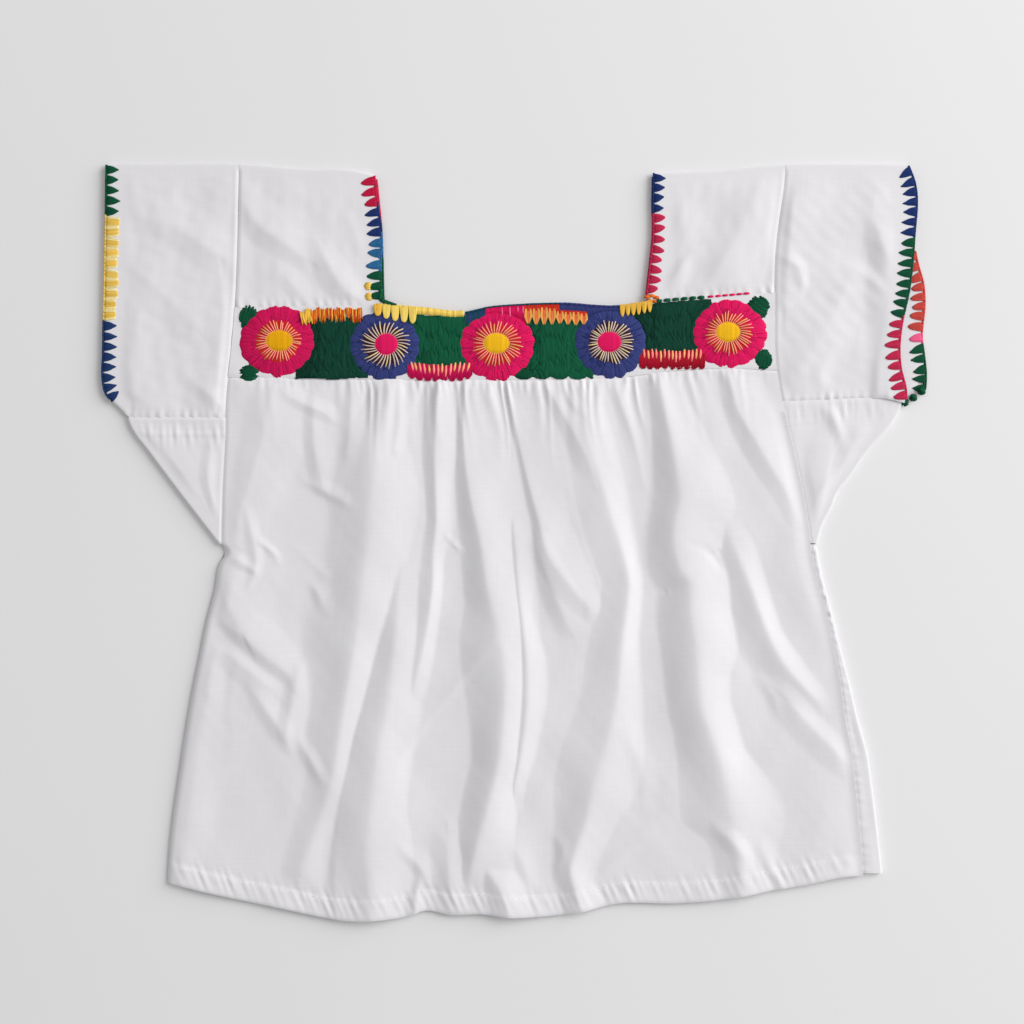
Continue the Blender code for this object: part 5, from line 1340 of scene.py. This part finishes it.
    stitches = wraps(-13.6, 5.0, 0.5, shifted(bandTop, 0.1), above(2), 0, chance, bandZ + 0.3, 0.7)
    stitches += wraps(33.4, 51.0, 0.5, shifted(bandTop, 0.1), above(3), 2, chance, bandZ + 0.3, 0.7)
    stitches += wraps(-23.0, -13.4, 0.55, shifted(bandTop, 0.1), shifted(bandTop, -5.6),
                      lambda x, k: 3 if k % 4 else 2, chance, bandZ + 0.24, 0.7)
    for x, long in ((-6.0, 4.6), (-2.4, 5.4), (1.2, 3.6), (3.6, 4.4)):
        y = float(bandTop(x))
        stitches.append(strand([(x, y - 0.4, bandZ + 0.6), (x, y - 0.5 * long, bandZ + 0.75),
                                (x + 0.3, y - long, bandZ + 0.5)], 0.9, 0.34, 1, 0.35))
    for start, end, tone, width in ((-23, 20, 3, 0.9), (20, 49, 2, 1.0)):
        points = [(x, float(bandTop(x)) + 0.4, bandZ + 0.3) for x in np.linspace(start, end, 40)]
        stitches += cord(points, width, 0.5, tone, chance, 2.1)
    for x in np.arange(49.3, 62.0, 2.5):
        stitches += tuft(x, float(bandTop(x)) + 0.9, 2.4, 5.2 + 0.8 * chance.random(), down, 4,
                         chance, bandZ + 0.7, 5, 0.3)
    for start, pitch, over, (halfX, halfY, arch), end, width, height, tone, blunt in fringes["dashes"]:
        for k in range(6):
            x = start + pitch * k
            y = float(bandTop(x)) + over
            points = [(x, y, bandZ + 0.1), (x + halfX, y + halfY, bandZ + arch),
                      (x + end[0], y + end[1], bandZ + 0.1)]
            stitches.append(strand(points, width, height, tone, blunt))
    piece = layStrands("necklineStitches", stitches, ["magenta", "pink", "navy", "teal", "apricot", "green"])
    dress(piece, "navy_thread")


makeFringes()
print("band embroidered")

# Toothed borders: blanket-stitched tufts with a thin rim, in runs of colour

borders = {
    "pitch": 4.75, "stitches": 9, "rimWidth": 1.1, "rimHeight": 0.6, "overhang": 0.6,
    # name and node, edge, inward direction, where it starts and ends, slot, layer height, depth, and
    # runs of (lower end, thread, tip width)
    "rows": [
        ("borderCuffLeft", "border_cuff_left", "cuffLeft", 1, 173.4, 65.8, "yellow_thread", 2.28, 6.3,
         [(150.5, "cuffGreen", 0.14), (102.0, "cuffYellow", 0.8), (60, "cuffBlue", 0.12)]),
        ("borderCuffRight", "border_cuff_right", "cuffRightFront", -1, 173.0, 65.8, "navy_thread", 2.28, 6.5,
         [(140.0, "borderNavy", 0.14), (104.0, "cuffGreen", 0.26), (60, "borderCrimson", 0.36)]),
        ("borderCuffRightInside", "border_cuff_right_inside", "cuffRightBack", -1, 134.0, 68.6, "red_thread",
         0.55, 6.2, [(96.5, "coral", 0.4), (91.5, "pink", 0.4), (60, "cuffGreen", 0.2)]),
        ("borderNeckLeft", "border_neck_left", "neckLeftFront", -1, 168.4, 112.5, "blue_thread", 2.28, 6.5,
         [(156.5, "neckRed", 0.34), (142.5, "borderNavy", 0.26), (124.0, "neckBlue", 0.3),
          (100, "cuffGreen", 0.3)]),
        ("borderNeckRight", "border_neck_right", "neckRight", 1, 169.6, 112.6, "magenta_thread", 2.28, 5.3,
         [(151.0, "borderNavy", 0.16), (100, "borderCrimson", 0.34)]),
    ],
    # Rims of the back layer's borders: name and node, edge, outward direction, slot, and runs
    "rims": [
        ("rimCuffLeft", "rim_cuff_left_back", "cuffLeft", -1, "green_thread",
         [(172.0, 150.5, "cuffGreen"), (150.5, 102.0, "cuffYellow"), (102.0, 67.0, "cuffBlue")]),
        ("rimNeckLeft", "rim_neck_left_back", "neckLeftBack", 1, "red_thread",
         [(167.0, 147.0, "borderCrimson"), (147.0, 131.0, "borderNavy"), (131.0, 111.5, "cuffGreen")]),
        ("rimNeckRight", "rim_neck_right_back", "neckRight", -1, "blue_thread",
         [(168.0, 151.0, "borderNavy"), (151.0, 114.0, "borderCrimson")]),
    ],
}


def makeBorders():
    for number, wish in enumerate(borders["rows"]):
        name, node, line, inward, start, end, slot, level, depth, runs = wish
        chance = random.Random(160 + number)
        curve = edge[line]

        def height(x, y):
            return level + (float(cuffLift(x, y)) if line == "cuffRightFront" else 0)

        stitches, y = [], start
        while y > end + 2:
            run = next(k for k, row in enumerate(runs) if y - 1 > row[0])
            pitch = borders["pitch"] * chance.uniform(0.93, 1.07)
            y -= pitch / 2
            x, slope = float(curve(y)), float(curve(y + 0.5) - curve(y - 0.5))
            turn = math.atan2(-inward * slope, inward) + chance.uniform(-0.09, 0.09)
            _, thread, tip = runs[run]
            width = pitch * (0.86 if tip < 0.5 else 1.02)
            long = depth * chance.uniform(0.88, 1.06)
            hook = chance.uniform(0.1, 0.22) if inward < 0 else chance.uniform(-0.06, 0.1)
            stitches += tuft(x - inward * borders["overhang"], y, width, long, turn, run, chance,
                             height(x, y), borders["stitches"], tip, hook,
                             edgeTone=len(runs) if thread == "cuffYellow" else None)
            y -= pitch / 2
        top = start
        for k, (low, _, _) in enumerate(runs):
            ys = np.linspace(top, max(low, end), 24)
            points = [(float(curve(v)) - inward * borders["overhang"], v, height(float(curve(v)), v) - 0.1)
                      for v in ys]
            stitches += cord(points, borders["rimWidth"], borders["rimHeight"], k, chance)
            top = max(low, end)
        piece = layStrands(name, stitches, [row[1] for row in runs] + ["paleYellow"])
        dress(piece, slot, node)
    for name, node, line, out, slot, runs in borders["rims"]:
        stitches = []
        for k, (start, end, _) in enumerate(runs):
            points = [(float(edge[line](y)) + out * 0.7, y, 0.12) for y in np.linspace(start, end, 24)]
            stitches += cord(points, 1.3, 0.9, k, chance)
        piece = layStrands(name, stitches, [run[2] for run in runs])
        dress(piece, slot, node)


makeBorders()


def makeCornerStitches():
    # Green and yellow stitches at the neck's corners, and green knots at the right cuff's end
    chance = random.Random(190)
    z = layers["frontTop"]
    stitches = cord([(-62.6, 112.6, z), (-60.5, 110.6, z), (-57.5, 109.6, z), (-54.6, 108.4, z)],
                    2.0, 0.8, 0, chance, 1.5)
    stitches += cord([(-61.6, 116.5, z), (-61.9, 111.6, z)], 2.2, 0.7, 0, chance, 1.8)
    for x, y in ((-67.4, 117.6), (-67.0, 112.8)):
        for k, half in enumerate((1.5, 2.1, 2.1, 1.5)):
            stitches.append(strand([(x - half, y - 1.2 + 0.8 * k, z - 0.1), (x, y - 1.2 + 0.8 * k, z + 0.3),
                                    (x + half, y - 1.2 + 0.8 * k, z - 0.1)], 1.2, 0.4, 1, 0.5))
    for x, y in ((60.6, 112.6), (62.9, 113.0), (64.9, 112.2), (61.8, 110.8), (64.2, 110.4)):
        stitches.append(strand([(x - 1.4, y, z - 0.05), (x, y + 0.2, z + 0.35), (x + 1.4, y, z - 0.05)],
                               1.5, 0.5, 2, 0.6))
    piece = layStrands("cornerStitches", stitches, ["cuffGreen", "cuffYellow", "orange"])
    dress(piece, "green_thread")

    knots = []
    for x, y, wide in ((175.6, 66.6, 2.8), (179.0, 64.4, 4.2), (183.2, 66.4, 3.6), (187.0, 69.4, 3.8)):
        for k in range(6):
            turn = k * math.pi / 6 + chance.uniform(-0.2, 0.2)
            dx, dy = wide / 2 * math.cos(turn), wide / 2 * math.sin(turn)
            low = 0.9 + 0.22 * k
            knots.append(strand([(x - dx, y - dy, low), (x, y, low + 0.7), (x + dx, y + dy, low)],
                                1.3, 0.6, 0, 0.6))
    piece = layStrands("cuffKnots", knots, ["cuffGreen"])
    dress(piece, "green_thread")


makeCornerStitches()
print("borders stitched")

# White stitches of the hem

sewing = {"stitch": 2.0, "every": 2.7, "width": 0.3, "height": 0.14}


def makeSewing():
    x, y, z = frontGrid
    row = len(x) - 1 - frontBody["rowSteps"][2] + round(
        frontBody["rowSteps"][2] * (frontBody["hemZone"] - frontBody["hemDepth"]) / frontBody["hemZone"])
    line = np.stack([x[row], y[row], z[row]], 1)[6:-6]
    length = np.concatenate([[0], np.cumsum(np.linalg.norm(np.diff(line, axis=0), axis=1))])
    stitches = []
    for place in np.arange(1.0, length[-1] - 3, sewing["every"]):
        ends = []
        for s, sink in ((0, -0.14), (0.5, -0.02), (1, -0.14)):
            at = place + s * sewing["stitch"]
            ends.append([np.interp(at, length, line[:, c]) + (sink if c == 2 else 0) for c in range(3)])
        stitches.append(strand(ends, sewing["width"], sewing["height"], 0, 0.6))
    piece = layStrands("hemStitches", stitches, ["white"])
    dress(piece, "white_cotton")


makeSewing()
print("sewing done")
